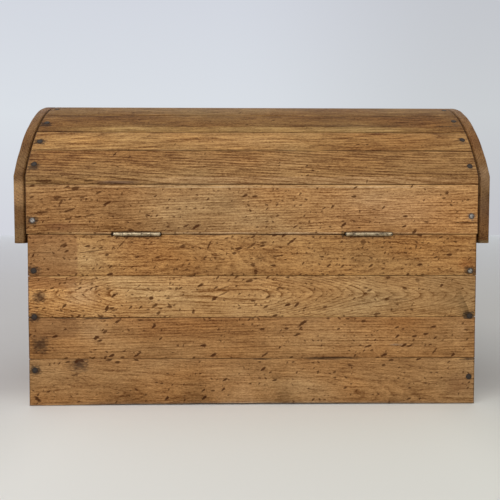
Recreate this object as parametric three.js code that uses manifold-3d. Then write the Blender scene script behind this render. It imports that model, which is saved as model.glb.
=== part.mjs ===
import * as THREE from 'three';
import { mergeVertices } from 'three/addons/utils/BufferGeometryUtils.js';
import Module from 'manifold-3d';

// Oak grain ark: a plank chest under a domed lid of slats, hinged at the back.
// Lengths are in millimetres. The front faces -Y, the hinges are on the +Y side,
// +X is the chest's right hand seen from its front, and z = 0 is the floor.

// Body
const bodyWidth = 870;
const chestDepth = 506; // front face to back face, the same for body and lid
const topPlankHeight = 80.5;
const upperPlankHeight = 80.8;
const lowerPlankHeight = 80.9;
const basePlankHeight = 90.8;
const wallThickness = 22; // front and back planks, which cover the end planks' ends
const endThickness = 24;
const baseHollow = 3; // the lowest front and back planks rise this much at mid length
const seam = 0.4; // open joint line between neighbouring boards
const boardArris = 0.6; // chamfer along the edges of the boards

// Floor of the body
const floorBoardCount = 4;
const floorThickness = 16;
const floorClearance = 1; // between the floor boards and the walls round them
const battenCount = 3;
const battenWidth = 30;
const battenHeight = 20;
const battenLift = 8; // from the ground to the underside of the battens

// Lid
const lidLineGap = 0.4; // between the body's rim and the closed lid
const lidRise = 287; // lid line to crest
const lidBoardHeight = 96;
const lidBoardThickness = 20;
const archSpanShare = 1.26; // half span of the arch's full ellipse, as a share of half the depth
const slatThickness = 18;
const slatUpright = 16; // plumb strip at the foot of the lowest slat, over the lid board
const firstSlatArc = 63.3; // widths of the slats along the arch, from its foot upwards
const secondSlatArc = 55.2;
const thirdSlatArc = 71;
const crownSlatCount = 3; // the rest of the arch is shared by these
const slatEndGap = 2; // dark groove between the slats' ends and the cheek
const formerThickness = 24; // inner end panels, which the slats are nailed to
const cheekThickness = 20; // outer end boards, flush with the slats' outer face
const cheekClearance = 5; // between the body's end and the cheek that hangs beside it
const cheekDrop = 17.7; // how far the cheeks hang below the lid line
const cheekArris = 1.6;

// Butt hinges
const hingeLength = 89;
const hingeSpacing = 448; // between the middles of the two hinges
const knuckleCount = 5;
const knuckleRadius = 3.9;
const knuckleGap = 0.3; // end play between neighbouring knuckles
const pinRadius = 1.7;
const pinClearance = 0.15;
const pinHeadProud = 0.8; // beyond the end knuckles
const leafDepth = 19; // from the barrel's axis to the leaf's inner edge
const leafThickness = 2;
const axisStandOff = 0.6; // from the back face to the barrel's axis
const barrelEndRoom = 2.6; // length of the recess past each end of the barrel
const barrelRoom = 0.7; // round the barrel in its recess
const screwCount = 4;
const screwHoleRadius = 2.2;
const screwInset = 11; // from the barrel's axis to the line of screws
const screwEndInset = 9; // from the leaf's end to the first screw

// Forged nails
const nailHeadRadius = 5;
const nailHeadSink = 0.8; // the head's underside below the wood's face
const nailHeadProud = 0.7;
const nailRimProud = 0.2;
const nailShankRadius = 1.9;
const nailLength = 44;
const nailTaper = 12;
const wallNailInset = 12; // from the end of a wall plank to its nails
const slatNailInset = 14; // from the end of a slat to its nail
const rightWallNailShares = [0.13, 0.022, null, 0.765]; // heights, of each plank's own from the rim
const leftWallNailShares = [0.115, 0.02, null, 0.591]; // down; the third has no nail of its own
const rightLidNailShare = 0.279; // heights, of the lid board's height
const leftLidNailShare = 0.363;
const rightSlatNailShares = [0.434, 0.447, 0.477]; // places across slats 1 to 3
const leftSlatNailShares = [0.378, 0.58, 0.644];

// Fits
const fit = 0.3; // round a piece that sits in a pocket of its neighbour
const cutOverrun = 5; // how far cutters run past the face they cut

// Fineness of the faceted curves
const archSamples = 600;
const arcStepsPerSlat = 8;
const roundSides = 20;
const nailSides = 10;

// Places worked out from the sizes above
const plankHeights = [topPlankHeight, upperPlankHeight, lowerPlankHeight, basePlankHeight];
const bodyHeight = plankHeights.reduce((sum, height) => sum + height, 0);
const cheekInner = bodyWidth / 2 + cheekClearance;
const slatHalfLength = cheekInner - slatEndGap;
const barrelProud = axisStandOff + knuckleRadius; // the only thing behind the back face
const backFace = (chestDepth - barrelProud) / 2; // so that y = 0 is mid way over all
const frontFace = backFace - chestDepth;
const hingeAxisY = backFace + axisStandOff;
const hingeAxisZ = bodyHeight + lidLineGap / 2;
const innerDepth = chestDepth - 2 * wallThickness;
const kinkRise = lidBoardHeight + slatUpright; // where the plumb back turns into the arch

const finishes = {
  bodyOak: { color: 0xa5784a, roughness: 0.55, metalness: 0 },
  lidOak: { color: 0xa9804f, roughness: 0.5, metalness: 0 },
  cheekOak: { color: 0x7d5a35, roughness: 0.55, metalness: 0 },
  innerOak: { color: 0xb48f62, roughness: 0.7, metalness: 0 },
  brass: { color: 0xb3a27c, roughness: 0.35, metalness: 1 },
  steel: { color: 0x8f8a80, roughness: 0.4, metalness: 1 },
  iron: { color: 0x4a4744, roughness: 0.6, metalness: 1 },
};

const grainArk = new THREE.Group();

function addPiece(name, geometry, finish) {
  const material = new THREE.MeshStandardMaterial({ ...finish, flatShading: true });
  const piece = new THREE.Mesh(geometry, material);
  piece.name = name;
  grainArk.add(piece);
}

// Closed geometry to a solid that can be joined and cut, and back
const wasm = await Module();
wasm.setup();

function toSolid(geometry) {
  const bare = geometry.clone();
  bare.deleteAttribute('normal');
  bare.deleteAttribute('uv');
  const merged = mergeVertices(bare);
  return new wasm.Manifold(new wasm.Mesh({
    numProp: 3,
    vertProperties: merged.attributes.position.array,
    triVerts: new Uint32Array(merged.index.array),
  }));
}

function toGeometry(solid) {
  const mesh = solid.getMesh();
  const geometry = new THREE.BufferGeometry();
  geometry.setAttribute('position', new THREE.BufferAttribute(mesh.vertProperties, 3));
  geometry.setIndex(new THREE.BufferAttribute(mesh.triVerts, 1));
  geometry.computeVertexNormals();
  return geometry;
}

// Directions that an outline's right, up and depth are laid along
const axisX = new THREE.Vector3(1, 0, 0);
const axisY = new THREE.Vector3(0, 1, 0);
const axisZ = new THREE.Vector3(0, 0, 1);
const layAlongX = new THREE.Matrix4().makeBasis(axisY, axisZ, axisX);
const layAlongY = new THREE.Matrix4().makeBasis(axisX, axisZ, axisY.clone().negate());

// Prism of an outline with its end edges chamfered, from 0 to length along its depth
function chamferedPrism(outline, length, arris, curveSegments = 1) {
  const geometry = new THREE.ExtrudeGeometry(outline, {
    depth: length - 2 * arris,
    bevelEnabled: arris > 0,
    bevelThickness: arris,
    bevelSize: arris,
    bevelOffset: -arris,
    bevelSegments: 1,
    curveSegments,
  });
  return geometry.translate(0, 0, arris);
}

// Board from one corner to the other, all its edges chamfered
function board(low, high, arris = boardArris) {
  const size = high.clone().sub(low);
  const outline = new THREE.Shape([
    new THREE.Vector2(arris, 0),
    new THREE.Vector2(size.y - arris, 0),
    new THREE.Vector2(size.y, arris),
    new THREE.Vector2(size.y, size.z - arris),
    new THREE.Vector2(size.y - arris, size.z),
    new THREE.Vector2(arris, size.z),
    new THREE.Vector2(0, size.z - arris),
    new THREE.Vector2(0, arris),
  ]);
  const geometry = chamferedPrism(outline, size.x, arris);
  return geometry.applyMatrix4(layAlongX).translate(low.x, low.y, low.z);
}

// Lowest wall board, its bottom edge hollow so that the chest stands on its corners
function hollowBoard(low, high, hollow) {
  const size = high.clone().sub(low);
  const outline = new THREE.Shape();
  outline.moveTo(0, 0);
  outline.quadraticCurveTo(size.x / 2, 2 * hollow, size.x, 0);
  outline.lineTo(size.x, size.z);
  outline.lineTo(0, size.z);
  const geometry = chamferedPrism(outline, size.y, boardArris, 2 * arcStepsPerSlat);
  return geometry.applyMatrix4(layAlongY).translate(low.x, high.y, low.z);
}

// Section measured inwards from the back face and up from the lid line, run along X
function lidPrism(points, fromX, toX, arris) {
  const outline = new THREE.Shape(
    points.map((point) => new THREE.Vector2(backFace - point.x, bodyHeight + point.y)),
  );
  const geometry = chamferedPrism(outline, toX - fromX, arris);
  return geometry.applyMatrix4(layAlongX).translate(fromX, 0, 0);
}

// The arch: the part of an ellipse between the two kinks, by distance along it
const archHalfSpan = archSpanShare * chestDepth / 2;
const footAngle = Math.acos(1 / archSpanShare);
const archHalfRise = (lidRise - kinkRise) / (1 - Math.sin(footAngle));

function archPointAt(angle) {
  const inward = chestDepth / 2 - archHalfSpan * Math.cos(angle);
  const up = lidRise - archHalfRise * (1 - Math.sin(angle));
  return new THREE.Vector2(inward, up);
}

const archLengths = [0];
const archAngles = [footAngle];
for (let sample = 1; sample <= archSamples; sample++) {
  const angle = footAngle + (Math.PI - 2 * footAngle) * sample / archSamples;
  const step = archPointAt(angle).distanceTo(archPointAt(archAngles[sample - 1]));
  archAngles.push(angle);
  archLengths.push(archLengths[sample - 1] + step);
}
const archLength = archLengths[archSamples];

function angleAlong(distance) {
  const next = Math.max(1, archLengths.findIndex((length) => length >= distance));
  const before = archLengths[next - 1];
  const share = (distance - before) / (archLengths[next] - before);
  return THREE.MathUtils.lerp(archAngles[next - 1], archAngles[next], share);
}

// Direction out of the arch at a distance along it
function archOutward(distance) {
  const angle = angleAlong(distance);
  const out = new THREE.Vector2(-Math.cos(angle) / archHalfSpan, Math.sin(angle) / archHalfRise);
  return out.normalize();
}

// Point at a distance along the arch and a depth under its surface
function archPoint(distance, depth = 0) {
  return archPointAt(angleAlong(distance)).addScaledVector(archOutward(distance), -depth);
}

function archCurve(from, to, steps) {
  const points = [];
  for (let step = 0; step <= steps; step++) {
    points.push(archPoint(THREE.MathUtils.lerp(from, to, step / steps)));
  }
  return points;
}

// Joints of the slats: three at the back, the crown, and the back's mirrored at the front
const backJoints = [firstSlatArc, firstSlatArc + secondSlatArc];
backJoints.push(backJoints[1] + thirdSlatArc);
const crownStart = backJoints[2];
const crownArc = (archLength - 2 * crownStart) / crownSlatCount;

// Outline of a slat between two distances along the arch
function slatOutline(from, to) {
  const start = from + seam / 2;
  const end = to - seam / 2;
  return [
    archPoint(start, boardArris),
    ...archCurve(start + boardArris, end - boardArris, arcStepsPerSlat),
    archPoint(end, boardArris),
    archPoint(end, slatThickness),
    archPoint(start, slatThickness),
  ];
}

// The lowest slat starts upright, on top of the lid's back board
function footSlatOutline() {
  const foot = lidBoardHeight + seam / 2;
  const end = firstSlatArc - seam / 2;
  return [
    new THREE.Vector2(boardArris, foot),
    new THREE.Vector2(0, foot + boardArris),
    ...archCurve(0, end - boardArris, arcStepsPerSlat),
    archPoint(end, boardArris),
    archPoint(end, slatThickness),
    new THREE.Vector2(lidBoardThickness, foot),
  ];
}

function mirrored(points) {
  return points.map((point) => new THREE.Vector2(chestDepth - point.x, point.y));
}

function slatOutlines() {
  const back = [
    footSlatOutline(),
    slatOutline(backJoints[0], backJoints[1]),
    slatOutline(backJoints[1], backJoints[2]),
  ];
  const crown = [];
  for (let slat = 0; slat < crownSlatCount; slat++) {
    const from = crownStart + slat * crownArc;
    crown.push(slatOutline(from, from + crownArc));
  }
  return [...back, ...crown, ...back.map(mirrored).reverse()];
}

// Outline of the inner end panels, which fill the lid under the slats
function formerOutline() {
  const bed = slatThickness + fit;
  const side = lidBoardThickness + fit;
  const back = [
    new THREE.Vector2(side, lidLineGap),
    new THREE.Vector2(side, lidBoardHeight - fit),
    ...backJoints.map((joint) => archPoint(joint, bed)),
  ];
  const crown = [];
  for (let slat = 1; slat < crownSlatCount; slat++) {
    crown.push(archPoint(crownStart + slat * crownArc, bed));
  }
  return [...back, ...crown, ...mirrored(back).reverse()];
}

// Outline of the outer end boards, flush with the slats and hanging past the lid line
function cheekOutline() {
  const slatCount = 2 * backJoints.length + crownSlatCount;
  return [
    new THREE.Vector2(0, -cheekDrop),
    ...archCurve(0, archLength, arcStepsPerSlat * slatCount),
    new THREE.Vector2(chestDepth, -cheekDrop),
  ];
}

// A turned shape with its axis along outward, its y = 0 at the given place
function turnedAt(profile, sides, place, outward) {
  const geometry = new THREE.LatheGeometry(profile, sides);
  const turn = new THREE.Quaternion().setFromUnitVectors(axisY, outward);
  geometry.applyQuaternion(turn);
  return geometry.translate(place.x, place.y, place.z);
}

// Nail: y = 0 of the profile is the wood's face
function nailProfile() {
  return [
    new THREE.Vector2(0, -nailLength),
    new THREE.Vector2(nailShankRadius / 2, -nailLength),
    new THREE.Vector2(nailShankRadius, -nailLength + nailTaper),
    new THREE.Vector2(nailShankRadius, -nailHeadSink),
    new THREE.Vector2(nailHeadRadius, -nailHeadSink),
    new THREE.Vector2(nailHeadRadius, nailRimProud),
    new THREE.Vector2(nailHeadRadius / 2, nailHeadProud),
    new THREE.Vector2(0, nailHeadProud),
  ];
}

function nailHoleProfile() {
  return [
    new THREE.Vector2(0, -nailLength - fit),
    new THREE.Vector2(nailShankRadius + fit, -nailLength - fit),
    new THREE.Vector2(nailShankRadius + fit, -nailHeadSink - fit),
    new THREE.Vector2(nailHeadRadius + fit, -nailHeadSink - fit),
    new THREE.Vector2(nailHeadRadius + fit, cutOverrun),
    new THREE.Vector2(0, cutOverrun),
  ];
}

// Nails of the back: { name, place, outward }
function wallNails(side, sideName, shares) {
  const x = side * (bodyWidth / 2 - wallNailInset);
  const nails = [];
  let plankFoot = bodyHeight;
  plankHeights.forEach((height, index) => {
    plankFoot -= height;
    if (shares[index] === null) return;
    nails.push({
      name: `wall_nail_${sideName}_${nails.length + 1}`,
      place: new THREE.Vector3(x, backFace, plankFoot + shares[index] * height),
      outward: axisY,
    });
  });
  return nails;
}

function lidNails(side, sideName, boardShare, slatShares) {
  const x = side * (slatHalfLength - slatNailInset);
  const nails = [{
    name: `lid_board_nail_${sideName}`,
    place: new THREE.Vector3(x, backFace, bodyHeight + boardShare * lidBoardHeight),
    outward: axisY,
  }];
  slatShares.forEach((share, index) => {
    const from = index === 0 ? 0 : backJoints[index - 1];
    const distance = THREE.MathUtils.lerp(from, backJoints[index], share);
    const point = archPoint(distance);
    const out = archOutward(distance);
    nails.push({
      name: `slat_nail_${sideName}_${index + 1}`,
      place: new THREE.Vector3(x, backFace - point.x, bodyHeight + point.y),
      outward: new THREE.Vector3(0, -out.x, out.y),
    });
  });
  return nails;
}

const wallPlankNails = [
  ...wallNails(1, 'right', rightWallNailShares),
  ...wallNails(-1, 'left', leftWallNailShares),
];
const lidBoardNails = [
  ...lidNails(1, 'right', rightLidNailShare, rightSlatNailShares),
  ...lidNails(-1, 'left', leftLidNailShare, leftSlatNailShares),
];

function nailHoles(nails) {
  return nails.map(({ place, outward }) => (
    toSolid(turnedAt(nailHoleProfile(), nailSides, place, outward))
  ));
}

// Hinges: a barrel along X, and two leaves let into the body's rim and the lid's board
const hingeMiddles = { left: -hingeSpacing / 2, right: hingeSpacing / 2 };

function barrelPrism(radius, fromX, toX) {
  const profile = [
    new THREE.Vector2(0, 0),
    new THREE.Vector2(radius, 0),
    new THREE.Vector2(radius, toX - fromX),
    new THREE.Vector2(0, toX - fromX),
  ];
  const place = new THREE.Vector3(fromX, hingeAxisY, hingeAxisZ);
  return toSolid(turnedAt(profile, roundSides, place, axisX));
}

function block(low, high) {
  const size = high.clone().sub(low);
  const middle = low.clone().add(high).multiplyScalar(1 / 2);
  const geometry = new THREE.BoxGeometry(size.x, size.y, size.z);
  return toSolid(geometry.translate(middle.x, middle.y, middle.z));
}

// up is 1 for the lid's leaf and -1 for the body's, which also decides whose knuckles are whose
function hingeLeaf(middleX, up) {
  const startX = middleX - hingeLength / 2;
  const pitch = hingeLength / knuckleCount;
  const faceZ = hingeAxisZ + up * lidLineGap / 2;
  const outerZ = faceZ + up * leafThickness;
  const plateEdgeY = hingeAxisY - (pinRadius + knuckleRadius) / 2;
  let leaf = block(
    new THREE.Vector3(startX, hingeAxisY - leafDepth, Math.min(faceZ, outerZ)),
    new THREE.Vector3(startX + hingeLength, plateEdgeY, Math.max(faceZ, outerZ)),
  );
  const ownKnuckles = [];
  const halfGap = knuckleGap / 2;
  for (let knuckle = 0; knuckle < knuckleCount; knuckle++) {
    const from = startX + knuckle * pitch;
    const to = from + pitch;
    const bodyOwns = knuckle % 2 === 0;
    if (bodyOwns === (up < 0)) {
      ownKnuckles.push(barrelPrism(knuckleRadius, from + halfGap, to - halfGap));
    } else {
      leaf = leaf.subtract(barrelPrism(knuckleRadius + fit, from - halfGap, to + halfGap));
    }
  }
  ownKnuckles.forEach((knuckle) => {
    leaf = leaf.add(knuckle);
  });
  const boreStart = startX - cutOverrun;
  const boreEnd = startX + hingeLength + cutOverrun;
  leaf = leaf.subtract(barrelPrism(pinRadius + pinClearance, boreStart, boreEnd));
  const screwPitch = (hingeLength - 2 * screwEndInset) / (screwCount - 1);
  for (let screw = 0; screw < screwCount; screw++) {
    const holeX = startX + screwEndInset + screw * screwPitch;
    const hole = new THREE.CylinderGeometry(
      screwHoleRadius,
      screwHoleRadius,
      2 * cutOverrun,
      roundSides,
    );
    hole.applyQuaternion(new THREE.Quaternion().setFromUnitVectors(axisY, axisZ));
    hole.translate(holeX, hingeAxisY - screwInset, faceZ);
    leaf = leaf.subtract(toSolid(hole));
  }
  return leaf;
}

// Pockets for both leaves and the barrel, cut from the body's rim and the lid's board
function hingePockets() {
  const pockets = [];
  for (const middleX of Object.values(hingeMiddles)) {
    const startX = middleX - hingeLength / 2;
    const endX = middleX + hingeLength / 2;
    const halfHeight = lidLineGap / 2 + leafThickness + fit;
    pockets.push(block(
      new THREE.Vector3(startX - fit, hingeAxisY - leafDepth - fit, hingeAxisZ - halfHeight),
      new THREE.Vector3(endX + fit, backFace + cutOverrun, hingeAxisZ + halfHeight),
    ));
    pockets.push(barrelPrism(knuckleRadius + barrelRoom, startX - barrelEndRoom, endX + barrelEndRoom));
  }
  return pockets;
}

function hingePin(middleX) {
  const half = hingeLength / 2 + pinHeadProud;
  return barrelPrism(pinRadius, middleX - half, middleX + half);
}

function cutPiece(geometry, cutters) {
  let solid = toSolid(geometry);
  cutters.forEach((cutter) => {
    solid = solid.subtract(cutter);
  });
  return toGeometry(solid);
}

// Body: the walls' planks from the rim down
const wallCutters = [...nailHoles(wallPlankNails), ...hingePockets()];
const ends = [
  { name: 'left', outer: -1 },
  { name: 'right', outer: 1 },
];
let plankTop = bodyHeight;
plankHeights.forEach((height, index) => {
  const row = index + 1;
  const isBase = row === plankHeights.length;
  const top = row === 1 ? plankTop : plankTop - seam / 2;
  const bottom = isBase ? 0 : plankTop - height + seam / 2;
  const walls = [
    { name: 'back', low: backFace - wallThickness, high: backFace },
    { name: 'front', low: frontFace, high: frontFace + wallThickness },
  ];
  walls.forEach((wall) => {
    const low = new THREE.Vector3(-bodyWidth / 2, wall.low, bottom);
    const high = new THREE.Vector3(bodyWidth / 2, wall.high, top);
    const plank = isBase ? hollowBoard(low, high, baseHollow) : board(low, high);
    const cutters = wall.name === 'back' ? wallCutters : [];
    addPiece(`${wall.name}_plank_${row}`, cutPiece(plank, cutters), finishes.bodyOak);
  });
  ends.forEach(({ name, outer }) => {
    const outerX = outer * bodyWidth / 2;
    const innerX = outerX - outer * endThickness;
    const low = new THREE.Vector3(Math.min(outerX, innerX), frontFace + wallThickness, bottom);
    const high = new THREE.Vector3(Math.max(outerX, innerX), backFace - wallThickness, top);
    addPiece(`${name}_end_plank_${row}`, cutPiece(board(low, high), wallCutters), finishes.bodyOak);
  });
  plankTop -= height;
});

// Body: battens across its depth, and the floor boards that lie on them
const innerHalfWidth = bodyWidth / 2 - endThickness;
const battenTop = battenLift + battenHeight;
for (let index = 0; index < battenCount; index++) {
  const reach = innerHalfWidth - battenWidth / 2;
  const x = THREE.MathUtils.lerp(-reach, reach, index / (battenCount - 1));
  const low = new THREE.Vector3(x - battenWidth / 2, frontFace + wallThickness, battenLift);
  const high = new THREE.Vector3(x + battenWidth / 2, backFace - wallThickness, battenTop);
  addPiece(`floor_batten_${index + 1}`, board(low, high), finishes.innerOak);
}
const floorBoardWidth = (innerDepth - 2 * floorClearance) / floorBoardCount;
for (let index = 0; index < floorBoardCount; index++) {
  const nearY = frontFace + wallThickness + floorClearance + index * floorBoardWidth;
  const low = new THREE.Vector3(-innerHalfWidth + floorClearance, nearY + seam / 2, battenTop);
  const high = new THREE.Vector3(
    innerHalfWidth - floorClearance,
    nearY + floorBoardWidth - seam / 2,
    battenTop + floorThickness,
  );
  addPiece(`floor_board_${index + 1}`, board(low, high), finishes.innerOak);
}

// Lid: upright boards, slats, inner end panels and outer end boards
const lidCutters = [...nailHoles(lidBoardNails), ...hingePockets()];
const uprightBoards = [
  { name: 'lid_back_board', low: backFace - lidBoardThickness, high: backFace, cutters: lidCutters },
  { name: 'lid_front_board', low: frontFace, high: frontFace + lidBoardThickness, cutters: [] },
];
uprightBoards.forEach(({ name, low, high, cutters }) => {
  const lowCorner = new THREE.Vector3(-slatHalfLength, low, bodyHeight + lidLineGap);
  const highCorner = new THREE.Vector3(slatHalfLength, high, bodyHeight + lidBoardHeight - seam / 2);
  addPiece(name, cutPiece(board(lowCorner, highCorner), cutters), finishes.lidOak);
});
slatOutlines().forEach((outline, index) => {
  const slat = lidPrism(outline, -slatHalfLength, slatHalfLength, boardArris);
  addPiece(`lid_slat_${index + 1}`, cutPiece(slat, lidCutters), finishes.lidOak);
});
ends.forEach(({ name, outer }) => {
  const formerFrom = outer > 0 ? cheekInner - formerThickness : -cheekInner;
  const former = lidPrism(formerOutline(), formerFrom, formerFrom + formerThickness, 0);
  addPiece(`lid_inner_end_${name}`, cutPiece(former, lidCutters), finishes.innerOak);
  const cheekFrom = outer > 0 ? cheekInner : -cheekInner - cheekThickness;
  const cheek = lidPrism(cheekOutline(), cheekFrom, cheekFrom + cheekThickness, cheekArris);
  addPiece(`lid_cheek_${name}`, cheek, finishes.cheekOak);
});

// Hardware
Object.entries(hingeMiddles).forEach(([name, middleX]) => {
  addPiece(`hinge_body_leaf_${name}`, toGeometry(hingeLeaf(middleX, -1)), finishes.brass);
  addPiece(`hinge_lid_leaf_${name}`, toGeometry(hingeLeaf(middleX, 1)), finishes.brass);
  addPiece(`hinge_pin_${name}`, toGeometry(hingePin(middleX)), finishes.steel);
});
[...wallPlankNails, ...lidBoardNails].forEach(({ name, place, outward }) => {
  addPiece(name, turnedAt(nailProfile(), nailSides, place, outward), finishes.iron);
});

export default grainArk;
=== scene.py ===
import math

import bmesh
import bpy
from mathutils import Euler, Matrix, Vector


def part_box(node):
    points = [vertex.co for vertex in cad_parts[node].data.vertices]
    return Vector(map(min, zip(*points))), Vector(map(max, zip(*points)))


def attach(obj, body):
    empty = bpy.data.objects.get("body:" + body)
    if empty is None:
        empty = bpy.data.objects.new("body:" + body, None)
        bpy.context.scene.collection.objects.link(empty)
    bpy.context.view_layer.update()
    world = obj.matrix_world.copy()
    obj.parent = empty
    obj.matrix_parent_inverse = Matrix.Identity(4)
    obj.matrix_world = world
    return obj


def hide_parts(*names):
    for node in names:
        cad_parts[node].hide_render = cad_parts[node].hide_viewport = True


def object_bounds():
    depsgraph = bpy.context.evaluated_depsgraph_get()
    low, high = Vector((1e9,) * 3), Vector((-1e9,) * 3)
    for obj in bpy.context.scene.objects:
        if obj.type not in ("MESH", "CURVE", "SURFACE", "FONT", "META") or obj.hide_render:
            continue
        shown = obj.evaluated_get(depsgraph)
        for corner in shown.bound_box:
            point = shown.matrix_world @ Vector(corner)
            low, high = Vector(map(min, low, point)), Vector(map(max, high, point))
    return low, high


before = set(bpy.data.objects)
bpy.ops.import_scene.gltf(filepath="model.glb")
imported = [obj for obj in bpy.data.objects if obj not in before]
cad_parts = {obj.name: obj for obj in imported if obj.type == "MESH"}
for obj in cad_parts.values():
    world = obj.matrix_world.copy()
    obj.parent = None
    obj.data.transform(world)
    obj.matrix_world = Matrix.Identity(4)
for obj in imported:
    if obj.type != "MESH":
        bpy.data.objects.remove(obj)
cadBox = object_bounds()
scene = bpy.context.scene
scene.view_settings.view_transform = "Standard"
print("frame loaded")


# camera
cameraView = {
    "lens": 43.2,
    "sensor": 36,
    "reach": 60,
    "place": (0.0269, 1.41035, 0.3485),
    "aside": 1.01,  # degrees off the chest's middle line
    "down": 2.27,  # degrees below the horizon
}
aside = math.radians(cameraView["aside"])
down = math.radians(cameraView["down"])
lookAlong = Vector((
    -math.sin(aside) * math.cos(down),
    -math.cos(aside) * math.cos(down),
    -math.sin(down),
))
bpy.ops.object.camera_add(location=cameraView["place"])
camera = bpy.context.object
camera.name = "photoCamera"
camera.rotation_euler = lookAlong.to_track_quat("-Z", "Y").to_euler()
camera.data.lens = cameraView["lens"]
camera.data.sensor_width = cameraView["sensor"]
camera.data.clip_end = cameraView["reach"]
scene.camera = camera
print("camera set")


# lamps: a wide soft key above the camera, a weak one from each side and one behind
lamps = {
    "keyLamp": {"from": (0.3, 1.0, 0.85), "strength": 1.9, "spread": 70},
    "sideLampLeft": {"from": (1.0, 0.3, 0.45), "strength": 0.4, "spread": 80},
    "sideLampRight": {"from": (-1.0, 0.3, 0.45), "strength": 0.3, "spread": 80},
    "backLamp": {"from": (0.2, -1.0, 0.9), "strength": 0.45, "spread": 80},
}
lampDistance = 3
for lampName, values in lamps.items():
    bpy.ops.object.light_add(type="SUN", location=Vector(values["from"]) * lampDistance)
    lamp = bpy.context.object
    lamp.name = lampName
    lamp.rotation_euler = Vector(values["from"]).to_track_quat("Z", "Y").to_euler()
    lamp.data.energy = values["strength"]
    lamp.data.angle = math.radians(values["spread"])
print("lamps set")


def toMetres(*lengths):
    return tuple(length / 1000 for length in lengths)


# small helpers for node trees
def addNode(tree, kind, **settings):
    node = tree.nodes.new(kind)
    count = len(tree.nodes)
    node.location = (200 * (count // 6), -240 * (count % 6))
    for name, value in settings.items():
        setattr(node, name, value)
    return node


def feed(value, socket):
    if isinstance(value, bpy.types.NodeSocket):
        socket.id_data.links.new(value, socket)
    elif value is not None:
        socket.default_value = value


def treeOf(*values):
    # the node tree of the first value that comes from a node
    return next(value.id_data for value in values if isinstance(value, bpy.types.NodeSocket))


def calc(operation, first, second=None, third=None, clamp=False, tree=None):
    tree = tree or treeOf(first, second, third)
    node = addNode(tree, "ShaderNodeMath", operation=operation, use_clamp=clamp)
    for socket, value in zip(node.inputs, (first, second, third)):
        feed(value, socket)
    return node.outputs[0]


def times(first, second, clamp=False, tree=None):
    return calc("MULTIPLY", first, second, clamp=clamp, tree=tree)


def timesPlus(first, second, third, clamp=False):
    return calc("MULTIPLY_ADD", first, second, third, clamp)


def vectorCalc(operation, first, second=None, scale=None):
    tree = treeOf(first, second, scale)
    node = addNode(tree, "ShaderNodeVectorMath", operation=operation)
    feed(first, node.inputs[0])
    if second is not None:
        feed(second, node.inputs[1])
    if scale is not None:
        feed(scale, node.inputs["Scale"])
    isNumber = operation in ("LENGTH", "DOT_PRODUCT")
    return node.outputs["Value"] if isNumber else node.outputs["Vector"]


def remap(value, low, high, toLow=0.0, toHigh=1.0):
    tree = treeOf(value)
    node = addNode(tree, "ShaderNodeMapRange", interpolation_type="SMOOTHSTEP")
    for socket, given in zip(node.inputs, (value, low, high, toLow, toHigh)):
        feed(given, socket)
    return node.outputs[0]


def splitVector(vector):
    node = addNode(treeOf(vector), "ShaderNodeSeparateXYZ")
    feed(vector, node.inputs[0])
    return node.outputs


def mixColour(share, first, second):
    node = addNode(treeOf(share, first, second), "ShaderNodeMix", data_type="RGBA")
    feed(share, node.inputs[0])
    feed(first, node.inputs[6])
    feed(second, node.inputs[7])
    return node.outputs[2]


def stretchedNoise(position, stretch, shift, detail=2.0, rough=0.5):
    place = vectorCalc("MULTIPLY", position, stretch)
    if shift is not None:
        place = vectorCalc("ADD", place, shift)
    node = addNode(treeOf(place), "ShaderNodeTexNoise")
    feed(place, node.inputs["Vector"])
    node.inputs["Scale"].default_value = 1.0
    node.inputs["Detail"].default_value = detail
    node.inputs["Roughness"].default_value = rough
    return node.outputs


def startGroup(name, inputs, outputs):
    # a socket's kind follows from the value it starts with
    group = bpy.data.node_groups.new(name, "ShaderNodeTree")
    for sockets, way in ((inputs, "INPUT"), (outputs, "OUTPUT")):
        for label, value in sockets.items():
            parts = len(value) if isinstance(value, tuple) else 1
            kind = {1: "Float", 3: "Vector", 4: "Color"}[parts]
            socket = group.interface.new_socket(
                name=label, in_out=way, socket_type="NodeSocket" + kind
            )
            if way == "INPUT":
                socket.default_value = value
    given = addNode(group, "NodeGroupInput").outputs
    result = addNode(group, "NodeGroupOutput").inputs
    return group, given, result


def useGroup(group, values):
    node = addNode(treeOf(*values.values()), "ShaderNodeGroup", node_tree=group)
    for label, value in values.items():
        feed(value, node.inputs[label])
    return node.outputs


def startMaterial(name):
    material = bpy.data.materials.new(name)
    material.use_nodes = True
    tree = material.node_tree
    return material, tree, tree.nodes["Principled BSDF"]


def addBump(shader, height, strength, depth):
    # depth in mm
    bump = addNode(treeOf(height), "ShaderNodeBump")
    bump.inputs["Strength"].default_value = strength
    bump.inputs["Distance"].default_value = depth / 1000
    feed(height, bump.inputs["Height"])
    feed(bump.outputs[0], shader.inputs["Normal"])


def onlyMaterial(piece, material):
    piece.data.materials.clear()
    piece.data.materials.append(material)


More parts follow.
